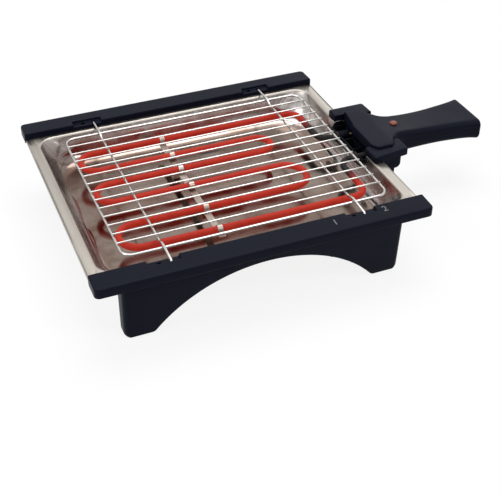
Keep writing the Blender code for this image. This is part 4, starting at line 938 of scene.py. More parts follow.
def leg_outline(inset, end_inset):
    """Points (x, z, share of the end's rounding) round the leg, seen from its face.

    The arch is a circle of radius R that grows with the inset. The foot's inner
    corner is an arc of radius r that touches the arch and the floor line: its middle
    lies r above the line and R + r from the arch's middle. The outer corner is a
    quarter circle, and the top is straight.
    """
    bottom = leg_bottom + inset
    top = leg_top - max(inset - 0.0015, 0)
    radius = arch_radius + inset
    centre = -arch_top - arch_radius
    bend = inner_corner - inset
    middle = bottom + bend - centre
    foot_in = np.sqrt((radius + bend) ** 2 - middle ** 2)
    lean = np.arctan2(foot_in, middle)
    angle = np.linspace(0, lean, 28)
    arch = np.column_stack([radius * np.sin(angle), centre + radius * np.cos(angle), 0 * angle])
    t = np.linspace(lean, 0, 8)[1:]
    round_in = np.column_stack([foot_in - bend * np.sin(t), bottom + bend * (1 - np.cos(t)), 0 * t])
    t = quarter_turn(7)
    half = leg_half - end_inset
    across = outer_corner - min(end_inset, 0.0063)
    rise = outer_corner - min(inset, 0.0015)
    corner = np.column_stack([
        half - across + across * np.sin(t), bottom + rise - rise * np.cos(t), np.sin(t)
    ])
    up = np.column_stack([np.full(6, half), np.linspace(corner[-1, 1], top, 7)[1:], np.ones(6)])
    right = np.concatenate([arch, round_in, corner, up])
    left = right[:0:-1] * np.array([-1, 1, 1])
    return np.concatenate([right, left])


def leg_rings(wall, back):
    """Rings from the face over its rounded edge to the open back; wall moves them inwards."""
    rings = []
    for angle in quarter_turn(7):
        inset = wall + max(0.0015 - wall, 1e-5) * (1 - np.sin(angle))
        end_inset = wall + max(0.0063 - wall, 1e-5) * (1 - np.sin(angle))
        ring = leg_outline(inset, end_inset)
        drop = ring[:, 1] / table_level
        rounding = 0.0015 + (0.0063 - 0.0015) * ring[:, 2]
        depth = wall + np.maximum(rounding - wall, 1e-5) * (1 - np.cos(angle))
        rings.append(np.column_stack([ring[:, 0], face_top - face_lean * drop - depth, ring[:, 1]]))
    last = rings[-1].copy()
    last[:, 1] = back
    return rings + [last]


def swap_side(mesh, side):
    """Turns a mesh by half a turn about the upright axis through the tray's middle."""
    if side < 0:
        spots = np.empty(len(mesh.vertices) * 3)
        mesh.vertices.foreach_get("co", spots)
        spots = spots.reshape(-1, 3)
        spots[:, :2] = 2 * origin[:2] - spots[:, :2]
        mesh.vertices.foreach_set("co", spots.ravel())
    return mesh


def leg_meshes():
    """The shell, five ribs between arch and top wall, and the bosses of the screws."""
    shell = closed_form(leg_rings(0, leg_back) + leg_rings(leg_wall, leg_back)[::-1])
    inner = []
    for x in (-0.128, -0.104, -0.052, -0.026, 0.026, 0.052, 0.104, 0.128):
        under = -arch_top - arch_radius + np.sqrt(arch_radius ** 2 - x * x) - 0.001
        low = leg_bottom + 0.0036 if abs(x) > 0.12 else under
        inner.append(
            box_mesh(
                (x - 0.0007, leg_back + 0.002, low), (x + 0.0007, face_top - 0.0068, leg_top - 0.001)
            )
        )
    for x in boss_spots:
        under = -arch_top - arch_radius + np.sqrt(arch_radius ** 2 - x * x) - 0.001
        tall = leg_top - 0.001 - under
        inner.append(turned([(0.0043, 0), (0.0042, tall)], (x, (leg_back + face_top) / 2, under), sides=20))
    return shell, inner


for name, side in (("back_leg", 1), ("front_leg", -1)):
    shell, inner = leg_meshes()
    obj = piece(
        name + "_moulding", [swap_side(shell, side)], black_plastic, "base", (name,),
        sharp=40,
    )
    for mesh in inner:
        swap_side(mesh, side)
    carve(obj, inner, "UNION")
    wells = []
    for x in boss_spots:
        foot = (x, (leg_back + face_top) / 2, table_level)
        well = turned([(well_radius, 0), (well_radius, -table_level - well_above)], foot, sides=18)
        wells.append(swap_side(well, side))
    carve(obj, wells)
    print(name, "faces:", len(obj.data.polygons))

# %% [markdown]
# ### Plated wire
# The rack is welded from steel wire and then nickel and chrome plated. It is so
# bright that it mostly mirrors the white room, with a faint yellow-brown where
# fat has burnt on. Its little dents and runs of plating only wobble the glints.

# %% Make the chrome
chrome, tree, shader, vector = start_finish("plated_wire")
dirt = use_group(tree, smudges, Vector=vector, Amount=0.8)
stain = noise(tree, vector, 55.0, 4.0, 0.6)
darkened = span(tree, stain.outputs["Fac"], 0.60, 0.74, 0.0, 0.35)
tree.links.new(blend(tree, darkened, (0.54, 0.530, 0.515), (0.30, 0.24, 0.17)), shader.inputs["Base Color"])
shader.inputs["Metallic"].default_value = 1.0
tree.links.new(span(tree, dirt.outputs["Mask"], 0.0, 1.0, 0.10, 0.28), shader.inputs["Roughness"])
bump(tree, shader, noise(tree, vector, 700.0, 2.0).outputs["Fac"], 0.15, 0.00003)
print("plated wire burnt at most", 0.35)

# %% [markdown]
# ## The rack
# A ring of 3 mm wire with thirteen 2 mm rods laid across it, spot welded where
# they cross, and two supports that run under the rods, climb over the ring and
# hook down into the rails' pockets. Each wire is a circle carried along its path,
# with its cut ends tumbled round, and every weld is a small flattened bead.

# %% Bend and weld the rack
shift, hook_place, hook_foot = 0.0067, 0.11215, 0.1526
ring_half = np.array([0.3120, 0.2500]) / 2
ring_wire, rod_wire, support_wire = 0.0015, 0.0010, 0.0015
ring_level, rod_count, rod_pitch = 0.0028, 13, 0.01722
rod_level = ring_level + ring_wire + 0.0003 + rod_wire


def ring_path():
    """The ring's middle line: a rounded rectangle of 12 mm corners, moved to its slots."""
    corners = ring_half * np.array([(-1, -1), (1, -1), (1, 1), (-1, 1)])
    outline = rounded(corners, 0.0120, 10)
    outline = along_runs(np.concatenate([outline, outline[:1]]), 0.02)[:-1]
    return np.column_stack([outline[:, 0] + shift, outline[:, 1], np.full(len(outline), ring_level)])


def support_path(x):
    """A support's middle line: level under the rods, over the ring by a cosine step, then down."""
    under = rod_level - rod_wire - 0.0003 - support_wire
    over = ring_level + ring_wire + 0.0003 + support_wire
    rest = 0.0030 + 0.0003 + support_wire
    share = np.linspace(0, 1, 12)
    start = ring_half[1] - 0.0140
    height = under + (over - under) * (1 - np.cos(pi * share)) / 2
    climb = np.column_stack([start + share * 0.0125, height])
    t = quarter_turn(8)
    radius = 0.0024
    bend = np.column_stack([hook_foot - radius + radius * np.sin(t), rest - radius * (1 - np.cos(t))])
    level = np.column_stack([np.linspace(0, start, 12, endpoint=False), np.full(12, under)])
    half = np.concatenate([level, climb, [[0.1280, over]], bend, [[hook_foot, 0.0019]]])
    both = np.concatenate([half[:0:-1] * np.array([-1, 1]), half])
    return np.column_stack([np.full(len(both), x), both])


def beads(spots, size):
    """Flattened beads at many places at once: an ellipsoid grid copied to every spot."""
    u = np.linspace(0.02, pi - 0.02, 6)[:, None]
    v = np.linspace(0, 2 * pi, 8, endpoint=False)[None, :]
    ball = np.stack([np.sin(u) * np.cos(v), np.sin(u) * np.sin(v), np.cos(u) + 0 * v], axis=-1) * size
    return [closed_form(ball + spot) for spot in spots]


piece(
    "rack_frame_wire", [tube(ring_path(), ring_wire, 14, closed=True)], chrome, "rack",
    ("rack_ring",), sharp=60,
)
rod_rows = ((rod_count - 1) / 2 - np.arange(rod_count)) * rod_pitch
for number, y in enumerate(rod_rows, 1):
    reach_x = ring_half[0] + 0.0014 - rod_wire
    line = np.column_stack([
        shift + np.linspace(-reach_x, reach_x, 15), np.full(15, y), np.full(15, rod_level)
    ])
    piece(
        f"rack_bar_{number:02d}", [tube(line, rod_wire, 12, domes=True)], chrome, "rack",
        (f"rack_rod_{number:02d}",), sharp=60,
    )
for word, hand in (("left", -1), ("right", 1)):
    path = support_path(shift + hand * hook_place)
    piece(
        f"rack_hook_{word}", [tube(path, support_wire, 14, domes=True)], chrome, "rack",
        (f"rack_support_{word}",), sharp=60,
    )
weld_level = ring_level + ring_wire
rod_welds = [np.array([shift + hand * ring_half[0], y, weld_level]) for hand in (-1, 1) for y in rod_rows]
hook_welds = [
    np.array([shift + hand * hook_place, side * ring_half[1], weld_level])
    for hand in (-1, 1)
    for side in (-1, 1)
]
welds = beads(rod_welds, np.array([0.0011, 0.0013, 0.0008])) + beads(
    hook_welds, np.array([0.0015, 0.0012, 0.0009])
)
piece("rack_welds", welds, chrome, "rack", sharp=60)
print("rack wires:", 3 + rod_count, "welds:", len(rod_welds) + len(hook_welds))

# %% [markdown]
# ### Glowing sheath
# The heater is a steel tube packed with ceramic powder round a coil. Its sheath
# is dark oxide that glows a flat, dull red where the coil runs inside; the last
# stretch before the block stays cold and grey-black. The glow follows the tube,
# so it reads the tube's own UV map, whose first number is the length in metres.

# %% Make the sheath
cold_reach = 0.060
end_line, end_start, tube_radius = 0.0260, 0.1886, 0.0040
outer_line = 0.1010
BEND = 16


def half_turn(x_end, y_start, y_end, hand):
    """Points of a half circle between two runs, whose outermost point lies at x_end."""
    radius = abs(y_end - y_start) / 2
    angle = np.linspace(0, pi, BEND + 1)
    x = x_end - hand * radius + hand * radius * np.sin(angle)
    return np.column_stack([x, y_start + (y_end - y_start) * (1 - np.cos(angle)) / 2])


def cold_end(side, outer_run):
    """From the block: straight in, a quarter turn sideways, and a quarter turn onto the run."""
    x, r, near = 0.1500, 0.0160, side * end_line
    t = quarter_turn(BEND // 2 + 1)
    straight = np.column_stack([np.linspace(end_start, x + r + 0.002, 5), np.full(5, near)])
    first = np.column_stack([x + r - r * np.sin(t), near + side * r * (1 - np.cos(t))])
    far = np.array([x, outer_run - side * r])
    between = first[-1] + (far - first[-1]) * np.linspace(0, 1, 7)[1:-1, None]
    second = np.column_stack([x - r * (1 - np.cos(t)), outer_run - side * r * (1 - np.sin(t))])
    return np.concatenate([straight, first, between, second])


runs = outer_line * np.array([-1, -0.5644, -0.0891, 0.2871, 0.6040, 1])
left_bend, front_bend, back_bend = -0.1410, 0.1020, 0.0900
path = np.concatenate([
    cold_end(-1, runs[0]), half_turn(left_bend, runs[0], runs[1], -1),
    half_turn(front_bend, runs[1], runs[2], 1), half_turn(left_bend, runs[2], runs[3], -1),
    half_turn(back_bend, runs[3], runs[4], 1), half_turn(left_bend, runs[4], runs[5], -1),
    cold_end(1, runs[5])[::-1],
])
path = along_runs(path)
tube_length = float(np.linalg.norm(np.diff(path, axis=0), axis=1).sum())
print("heater tube, bent out straight:", round(tube_length, 3), "m")

sheath = new_material("glowing_sheath")
tree = sheath.node_tree
shader = tree.nodes["Principled BSDF"]
track = tree.nodes.new("ShaderNodeUVMap")
track.uv_map = "surface"
apart = tree.nodes.new("ShaderNodeSeparateXYZ")
tree.links.new(track.outputs["UV"], apart.inputs["Vector"])
vector = place_on_object(tree)
mottle = noise(tree, vector, 48.0, 4.0, 0.6)
near_start = span(tree, apart.outputs["X"], cold_reach, cold_reach + 0.030, 0.0, 1.0)
near_end = span(
    tree, apart.outputs["X"], tube_length - cold_reach, tube_length - cold_reach - 0.030, 0.0, 1.0
)
hot = reckon(tree, "MULTIPLY", near_start, near_end)
red = blend(tree, mottle.outputs["Fac"], (0.20, 0.012, 0.008), (0.36, 0.034, 0.020))
tree.links.new(blend(tree, hot, (0.022, 0.020, 0.020), red), shader.inputs["Base Color"])
glow = blend(tree, mottle.outputs["Fac"], (0.45, 0.012, 0.006), (0.90, 0.050, 0.022))
tree.links.new(blend(tree, hot, (0.0, 0.0, 0.0), glow), shader.inputs["Emission Color"])
shader.inputs["Emission Strength"].default_value = 0.30
shader.inputs["Specular IOR Level"].default_value = 0.12
tree.links.new(span(tree, mottle.outputs["Fac"], 0.3, 0.7, 0.46, 0.62), shader.inputs["Roughness"])
bump(tree, shader, noise(tree, vector, 900.0, 3.0).outputs["Fac"], 0.25, 0.00004)

# %% [markdown]
# ## The heating element
# One long tube is bent into six runs. Its ends go into the terminal block. The
# path is straight stretches and arcs, and the tube is a circle carried along it.

# %% Bend the element
element_level = -0.0090
line = np.column_stack([path, np.full(len(path), element_level)])
piece(
    "bent_heater_tube", [tube(line, tube_radius, 20)], sheath, "element_unit",
    ("heating_element",), sharp=60,
)
print("heater path points:", len(line))

# %% [markdown]
# ### Strip steel, zinc and brass
# Small fittings are plain steel: the strip under the tube has been heated blue and
# brown, the screws are zinc plated, the collars are dark burnt steel, the pins are brass.

# %% Make the fitting metals
def plain_metal(name, colour, other, rough, heated=0.0):
    """A worn metal: two tones by slow noise, gloss by smudges, and a heat film if it was hot."""
    finish, tree, shader, vector = start_finish(name)
    dirt = use_group(tree, smudges, Vector=vector, Amount=1.0)
    tone = blend(tree, noise(tree, vector, 70.0, 4.0).outputs["Fac"], colour, other)
    if heated:
        film = use_group(tree, heat_film, Vector=vector, Heat=heated)
        tone = blend(tree, film.outputs["Mask"], tone, film.outputs["Tint"])
    tree.links.new(tone, shader.inputs["Base Color"])
    shader.inputs["Metallic"].default_value = 1.0
    tree.links.new(
        span(tree, dirt.outputs["Mask"], 0.0, 1.0, rough, rough + 0.2), shader.inputs["Roughness"]
    )
    bump(tree, shader, noise(tree, vector, 1400.0, 3.0).outputs["Fac"], 0.2, 0.00003)
    return finish


strip_steel = plain_metal("heated_strip_steel", (0.55, 0.53, 0.50), (0.42, 0.40, 0.38), 0.30, 0.34)
dull_steel = plain_metal("burnt_collar_steel", (0.035, 0.030, 0.028), (0.020, 0.018, 0.017), 0.50)
zinc = plain_metal("zinc_plate", (0.60, 0.61, 0.63), (0.48, 0.49, 0.50), 0.32)
brass = plain_metal("plain_brass", (0.66, 0.50, 0.24), (0.52, 0.38, 0.18), 0.34)

# %% [markdown]
# ## The strip, the collars and the pins
# A flat strip holds the runs level. It has a band round every run and two feet
# that stand on the pan's floor. A band is a ring carried a short way along X.

# %% Fit the strip under the runs
def hollow_ring(foot, axis, inner, outer, length, sides=28, edge=0.0002):
    """A ring with a bore: its rectangular section, edges broken, carried round an axis."""
    section = [
        (inner, 0), (outer - edge, 0), (outer, edge), (outer, length - edge), (outer - edge, length),
        (inner, length),
    ]
    profile = np.array(section)
    axis = np.asarray(axis, float)
    side = np.cross(axis, [0.0, 1.0, 0.0])
    other = np.cross(axis, side)
    angle = np.linspace(0, 2 * pi, sides, endpoint=False)
    spoke = side * np.cos(angle)[:, None] + other * np.sin(angle)[:, None]
    grid = np.asarray(foot) + profile[None, :, 1, None] * axis + profile[None, :, 0, None] * spoke[:, None]
    return surface(grid, wrap_rows=True, wrap_columns=True)


strip_x, strip_half = -0.0330, 0.0040
foot_thick, inner_bend, outer_bend = 0.0010, 0.0012, 0.0022
under = element_level - tube_radius - 0.0003
floor_level = -0.0340 + 0.0003
past_runs = 0.0090
strip_low = (strip_x - strip_half, runs[0] - past_runs, under - foot_thick)
strip_high = (strip_x + strip_half, runs[-1] + past_runs, under)
strip = [box_mesh(strip_low, strip_high)]
for place in outer_line * np.array([-0.3267, 0.4455]):
    t = quarter_turn(5)
    near, far = place - foot_thick / 2, place + foot_thick / 2
    foot_end, foot_top = place + 0.0100, under - 0.0006
    across, down = 1 - np.cos(t), 1 - np.sin(t)
    inner = np.column_stack([far + inner_bend * across, floor_level + foot_thick + inner_bend * down])
    outer = np.column_stack([near + outer_bend * across, floor_level + outer_bend * down])
    toe = [[foot_end, floor_level + foot_thick], [foot_end, floor_level]]
    side = np.concatenate([[[far, foot_top]], inner, toe, outer[::-1], [[near, foot_top]]])
    rings = [
        np.column_stack([np.full(len(side), x), side])
        for x in (strip_x - strip_half, strip_x + strip_half)
    ]
    strip.append(closed_form(rings))
for y in runs:
    strip.append(hollow_ring((strip_x - 0.0030, y, element_level), (1, 0, 0), 0.0042, 0.0051, 0.0060))
piece("runs_strip", strip, strip_steel, "element_unit", ("element_strip",), sharp=40)
for word, side in (("front", -1), ("back", 1)):
    foot = (0.1750 - 0.0003 - 0.0040, side * end_line, element_level)
    collar = hollow_ring(foot, (1, 0, 0), 0.0043, 0.0065, 0.0040, edge=0.0005)
    piece(
        f"collar_{word}", [collar], dull_steel, "element_unit",
        (f"cold_end_collar_{word}",), sharp=40,
    )
    foot = (end_start + 0.0003, side * end_line, element_level)
    pin = turned([(0.0010, 0), (0.0016, 0.0008), (0.0016, 0.0112), (0.0011, 0.0120)], foot, (1, 0, 0), 20)
    piece(
        f"contact_pin_{word}", [pin], brass, "element_unit", (f"terminal_pin_{word}",),
        sharp=40,
    )
print("bands on the strip:", len(runs))

# %% [markdown]
# ## The terminal block
# The block of heat-proof resin carries both cold ends out through the notch. Its
# top has ribs that keep fat away from the pins, and its edges are all broken.

# %% Mould the block
block_face, block_end, block_front, block_back = 0.1750, 0.19275, -0.0405, 0.0438
block_top, block_bottom, rib_top, rib_half = -0.0062, -0.0195, -0.0046, 0.0008


def rounded_block(low, high, radius, edge):
    """A block with rounded upright corners and a rounded top edge."""
    (x0, y0, z0), (x1, y1, z1) = low, high
    outline = rounded([(x0, y0), (x1, y0), (x1, y1), (x0, y1)], radius, 4)
    return plate(outline, *fillet(z0, z1, edge, 4))


low, high = (block_face, block_front, block_bottom), (block_end, block_back, block_top)
body = rounded_block(low, high, 0.0012, 0.0008)
block = piece(
    "terminal_block_moulding", [body], dark_resin, "element_unit", ("terminal_block",)
)
ribs = []
for y in (-0.0393, -0.0150, 0.0095, 0.0426):
    low = (block_face + rib_half, y - rib_half, block_top - rib_half)
    ribs.append(rounded_block(low, (block_end - rib_half, y + rib_half, rib_top), 0.0003, 0.0003))
carve(block, ribs, "UNION")
bores = []
for side in (-1, 1):
    foot = (block_face - 0.0040, side * end_line, element_level)
    bores.append(turned([(0.0043, 0), (0.0043, 0.0180)], foot, (1, 0, 0), 24))
    bores.append(turned([(0.0019, 0), (0.0019, 0.0300)], foot, (1, 0, 0), 16))
carve(block, bores)
well_start, well_end, well_floor, above = block_face + 0.0018, 0.1870, -0.0165, 0.0020
well_sides = [(-0.0381, -0.0153), (-0.0137, 0.0087)]
wells = []
for front, back in well_sides:
    wells.append(rounded_block((well_start, front, well_floor), (well_end, back, above), 0.0006, 0.0001))
wells.append(box_mesh((well_start, 0.0103, well_floor), (block_end + 0.0010, 0.0418, above)))
carve(block, wells)
carve(
    block, [hollow_ring((block_face, end_line, element_level), (1, 0, 0), 0.0043, 0.0062, 0.0136)],
    "UNION",
)
print("block faces:", len(block.data.polygons))

# %% [markdown]
# ## The holder on the rim
# A plate with rounded corners and a soft top edge lies on the right rim, and a
# cradle below it, outside the tray, carries the control box. The cradle is its
# side view carried across. The box's room is cut out of both, which leaves an arm
# on each side, and a small baffle closes the gap between block and notch.

# %% Mould the holder
holder_start, holder_end, holder_half, holder_top = 0.1795, 0.2276, 0.0626, 0.0092
box_half, box_end, running = 0.0460, 0.2130, 0.0006
root_x, root_half = 0.2205, 0.0318
cradle_half, cradle_start = 0.0550, 0.19275
frame_outline = rounded(
    [
        (holder_start, -holder_half), (holder_end, -0.0565), (holder_end, 0.0400),
        (holder_end - 0.0014, holder_half), (holder_start - 0.0010, holder_half),
    ],
    [0.0028, 0.0036, 0.0030, 0.0036, 0.0028], 8,
)
frame_plate = plate(frame_outline, *fillet(0.0003, holder_top, 0.0022, 6))
corners = [
    (cradle_start, 0.0046), (cradle_start, -0.0250), (0.2100, -0.0250), (0.2100, -0.0152),
    (0.2176, -0.0152), (0.2176, 0.0046),
]
side_view = rounded(corners, [0.0015, 0.0015, 0.0050, 0.0015, 0.0050, 0.0015], 7)
t = quarter_turn(5)
brink = 0.0012
draw = brink * (np.sin(t) - 1)
place = -cradle_half + brink * (1 - np.cos(t))
draw, place = np.concatenate([draw, draw[::-1]]), np.concatenate([place, -place[::-1]])
rings = []
for distance, y in zip(draw, place):
    ring = grown(side_view[::-1], distance)
    rings.append(np.column_stack([ring[:, 0], np.full(len(ring), y), ring[:, 1]]))
cradle = closed_form(rings)
holder = piece(
    "rim_holder_moulding", [frame_plate], black_plastic, "base", ("rim_holder",),
    sharp=40,
)
carve(holder, [cradle], "UNION")
side = np.array([(0.1945, -0.0150), (0.1945, -0.0012), (0.1815, -0.0012), (0.1770, -0.0150)])
baffle_ends = (0.0451, 0.0500)
baffle = closed_form([np.column_stack([side[:, 0], np.full(4, y), side[:, 1]]) for y in baffle_ends])
carve(holder, [baffle], "UNION")
hand_room = [
    (box_end + running, -box_half - running), (root_x + running, -root_half - 2 * running),
    (0.2400, -root_half - 2 * running), (0.2400, 0.0395), (root_x - 0.0030, 0.0395),
    (box_end + running, box_half + running),
]
hand_bends = [0.0006, 0.0025, 0.0004, 0.0004, 0.0015, 0.0006]
room = rounded([(0.1710, -0.0368), (0.1866, -0.0368), (0.1925, -box_half - running)] + hand_room
               + [(0.1916, box_half + running), (0.1914, 0.0450), (0.1710, 0.0450)],
               [0.0004, 0.0010, 0.0010] + hand_bends + [0.0002, 0.0002, 0.0004], 6)
low_front = (cradle_start - 0.0010, -box_half - running)
low_back = (cradle_start - 0.0010, box_half + running)
low_room = rounded([low_front] + hand_room + [low_back], [0.0004] + hand_bends + [0.0004], 6)
carve(holder, [plate(room, [0, 0], [-0.0002, 0.0132])])
carve(holder, [plate(low_room, [0, 0], [-0.0220, 0.0004])])
print("holder faces:", len(holder.data.polygons))

# %% [markdown]
# ## The control unit
# The box over the rim and the handle are one form in two shells: a cover and a
# base that meet in a fine line low on the side. From the box the sides sweep in
# over concave shoulders to the grip, which widens again towards its end. Each
# section across X is a rounded rectangle; half width, top and bottom are smooth
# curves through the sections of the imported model. The face over the rim is set
# back towards one side and its front corner is cut off, by cutters along Y.

# %% Sections of the handle
handle_share = np.array([
    (-0.0600, 0.9826, 1.0000, 0.8976), (0.0000, 0.9348, 0.9960, 0.9073),
    (0.0562, 0.6913, 0.9520, 0.9122), (0.1349, 0.5609, 0.8500, 0.9171),
    (0.2399, 0.5261, 0.7150, 0.9171), (0.3673, 0.5283, 0.6148, 0.8927),
    (0.5622, 0.5500, 0.5574, 0.8585), (0.7571, 0.6087, 0.5574, 0.8488),
    (0.9145, 0.6674, 0.5820, 0.8927), (0.9663, 0.7022, 0.5984, 0.9366),
])
box_face, box_top, box_bottom, handle_length = 0.1868, 0.0122, 0.0205, 0.1334
handle_end = box_end + handle_length
stations = box_end + handle_length * handle_share[:, 0]
half_widths = box_half * handle_share[:, 1]
tops = box_top * handle_share[:, 2]
bottoms = -box_bottom * handle_share[:, 3]
split_level, shell_gap, past_rim, box_corner = -0.0040, 0.00015, 0.19305, 0.0022


def smooth_curve(x, knots, values):
    """A cubic Hermite curve through values, with slopes that never overshoot.

    Each slope is the harmonic mean of the two neighbouring ones, or 0 at a turn.
    """
    step = np.diff(knots)
    rise = np.diff(values) / step
    inner = np.where(rise[1:] * rise[:-1] > 0, 2 * rise[1:] * rise[:-1] / (rise[1:] + rise[:-1] + 1e-12), 0)
    slope = np.concatenate([[rise[0]], inner, [rise[-1]]])
    i = np.clip(np.searchsorted(knots, x) - 1, 0, len(step) - 1)
    s = (x - knots[i]) / step[i]
    h = step[i]
    return ((1 + 2 * s) * (1 - s) ** 2 * values[i] + s * (1 - s) ** 2 * h * slope[i]
            + s * s * (3 - 2 * s) * values[i + 1] + s * s * (s - 1) * h * slope[i + 1])


def quarter(x, start, length):
    """How far a quarter circle has dropped, as a share of its radius, from start on."""
    return 1 - np.sqrt(1 - np.clip((x - start) / length, 0, 1) ** 2)


def cover_height(x):
    """Height of the cover's top at a place along X: flat over the box, then the handle's curve."""
    return smooth_curve(np.maximum(x, stations[0]), stations, tops)


def section_half(x):
    """Half width at a place along X: the box with its rounded corner, or the handle where that is wider."""
    box = np.where(x < box_end, box_half - box_corner * quarter(x, box_end - box_corner, box_corner), 0.0)
    return np.maximum(box, smooth_curve(np.maximum(x, stations[0]), stations, half_widths))


def under_height(x):
    """Height of the base's underside at a place along X: the box's floor, then the handle's curve."""
    box = np.where(x < box_end, -box_bottom + 0.0018 * quarter(x, box_end - 0.0018, 0.0018), 0.0)
    return np.minimum(box, smooth_curve(np.maximum(x, stations[0]), stations, bottoms))


def shell_rows(places, upper, inset=0.0):
    """A closed rounded section at every place: up one side, over the top (or under) and down.

    The corner radius grows from the box's small edge to the grip's full round. At
    the tray's side and at the handle's end the section closes in as a quarter
    circle, which rounds the edges of those two faces. The room inside is the same
    form, smaller by inset all round, and runs on past the split.
    """
    x = np.asarray(places, float)
    sign = 1 if upper else -1
    half = section_half(x) - inset
    top = (cover_height(x) if upper else under_height(x)) - sign * inset
    corner = 0.0018 + (0.0068 - 0.0018) * ease((x - box_end) / 0.024) - 0.4 * inset
    near, far = box_face + inset, handle_end - inset
    edge_in = 0.0014 * quarter(-x, -near - 0.0014, 0.0014) + 0.0030 * quarter(x, far - 0.0036, 0.0036)
    half = half - np.maximum(edge_in, 0.0050 * quarter(-x, -near - 0.0050, 0.0050))
    top = top - sign * edge_in
    if upper:
        level = np.where(x < past_rim + inset, 0.0003, split_level + shell_gap) - inset
    else:
        level = np.full(len(x), split_level - shell_gap) + inset
    radius = np.minimum(corner, np.abs(top - level) * 0.9)
    upright = np.array([0.0, 0.03, 0.5, 0.97])[None, :]
    t = quarter_turn(9)[None, :]
    across = np.linspace(1, 0, 7)[None, 1:]
    wall_z = level[:, None] + (top - sign * radius - level)[:, None] * upright
    round_y = half[:, None] - radius[:, None] * (1 - np.cos(t))
    round_z = top[:, None] - sign * radius[:, None] * (1 - np.sin(t))
    y = np.concatenate(
        [np.repeat(half[:, None], 4, axis=1), round_y, (half - radius)[:, None] * across], axis=1
    )
    z = np.concatenate([wall_z, round_z, np.repeat(top[:, None], across.shape[1], axis=1)], axis=1)
    section = np.concatenate([np.stack([-y, z], -1), np.stack([y, z], -1)[:, -2::-1]], axis=1)
    return np.concatenate([np.broadcast_to(x[:, None, None], section.shape[:2] + (1,)), section], axis=2)


def control_places():
    """Places along X: close together at the faces, the box's corner and the shoulders."""
    t = quarter_turn(10)
    return np.unique(
        np.round(
            np.concatenate([
                box_face + 0.0014 * (1 - np.cos(t)), box_face + 0.0050 * (1 - np.cos(t)),
                [past_rim - 1e-5, past_rim + 1e-5], np.linspace(0.1945, box_end - 0.0027, 7),
                box_end - box_corner + box_corner * np.sin(t), box_end - 0.0018 + 0.0018 * np.sin(t),
                np.linspace(box_end + 0.0004, box_end + 0.0300, 28),
                np.linspace(0.2450, handle_end - 0.0038, 24), handle_end - 0.0036 * (1 - np.sin(t)),
            ]),
            6,
        )
    )


# %% Mould the two shells
shell_wall = 0.0022
screw_spots = [(0.2060, -0.0370), (0.2060, 0.0370), (0.2620, 0.0), (0.3230, 0.0)]
lens_x, gland_level = 0.2375, -0.0060
gland_bore = turned([(0.0058, 0), (0.0058, 0.0200)], (handle_end - 0.0120, 0, gland_level), (1, 0, 0), 32)


def shell_piece(name, x, upper, node, posts, holes):
    """A shell: its outer form less the room inside, posts added, holes cut."""
    first, last = past_rim + shell_wall, handle_end - shell_wall
    inside = np.concatenate([[first], x[(x > first + 0.0001) & (x < last - 0.0001)], [last]])
    room = closed_form(shell_rows(inside, upper, shell_wall))
    obj = piece(
        name, [closed_form(shell_rows(x, upper))], black_plastic, "element_unit",
        (node,), sharp=40,
    )
    carve(obj, [room])
    carve(obj, posts, "UNION")
    carve(obj, holes)
    print(name, "faces:", len(obj.data.polygons))
    return obj


def face_cut(places):
    """A cutter along Y that moves the face over the rim out to each (y, x), with a rounded top edge."""
    t = quarter_turn(7)
    edge = 0.0009
    arc = np.column_stack([edge * (1 - np.sin(t)), box_top - edge * (1 - np.cos(t))])
    side = np.concatenate([
        [(-0.0200, -0.0100), (0.0, -0.0100)], arc[::-1],
        [(edge, box_top + 0.0040), (-0.0200, box_top + 0.0040)],
    ])
    rings = [np.column_stack([side[:, 0] + x, np.full(len(side), y), side[:, 1]]) for y, x in places]
    return closed_form(rings)


x = control_places()
cover_posts, base_posts, cover_holes, base_holes = [], [], [gland_bore.copy()], [gland_bore]
for px, py in screw_spots:
    ceiling = float(cover_height(np.array([px]))[0]) - shell_wall / 2
    ground = float(under_height(np.array([px]))[0]) + shell_wall / 2
    cover_posts.append(
        turned(
            [(0.0038, 0), (0.0040, ceiling - split_level - 0.0003)], (px, py, split_level + 0.0003),
            sides=24,
        )
    )
    base_posts.append(
        turned([(0.0051, 0), (0.0051, split_level - 0.0003 - ground)], (px, py, ground), sides=24)
    )
    cover_holes.append(turned([(0.0018, 0), (0.0018, 0.0130)], (px, py, split_level - 0.0040), sides=18))
    base_holes.append(turned([(0.0018, 0), (0.0018, 0.0300)], (px, py, -0.0245), sides=18))
    base_holes.append(turned([(0.0031, 0), (0.0031, 0.0158)], (px, py, -0.0245), sides=24))
cover_holes.append(turned([(0.0035, 0), (0.0035, 0.0200)], (lens_x, 0, 0.0), sides=28))
base_holes.append(turned([(0.0019, 0), (0.0019, 0.0080)], (0.2030, 0.0115, -0.0245), sides=20))
for side in (-1, 1):
    base_holes.append(
        turned(
            [(0.0022, 0), (0.0022, 0.0080)], (0.19175, side * end_line, element_level), (1, 0, 0), 20
        )
    )
set_back = face_cut([
    (0.0055, box_face - 0.0012), (0.0070, box_face - 0.0004), (0.0172, box_face + 0.0022),
    (0.0400, past_rim - 0.0010), (0.0520, past_rim - 0.0004),
])
corner_cut = face_cut([
    (-0.0520, 0.1958), (-0.0462, 0.1924), (-0.0352, 0.1858), (-0.0340, box_face - 0.0012)
])
cover_holes += [set_back, corner_cut]
shell_piece("cover_shell", x, True, "control_cover", cover_posts, cover_holes)
shell_piece("base_shell", x[x > past_rim], False, "control_base", base_posts, base_holes)
print(
    "handle sections:", len(x), "grip width in mm:",
    round(2000 * float(section_half(np.array([0.262]))[0]), 1),
)

# %% [markdown]
# ### Orange-red lens
# The pilot light is a domed lens of clear orange-red plastic. Unlit it looks dull
# and deep; a little roughness inside keeps the lamp from being seen as a shape.

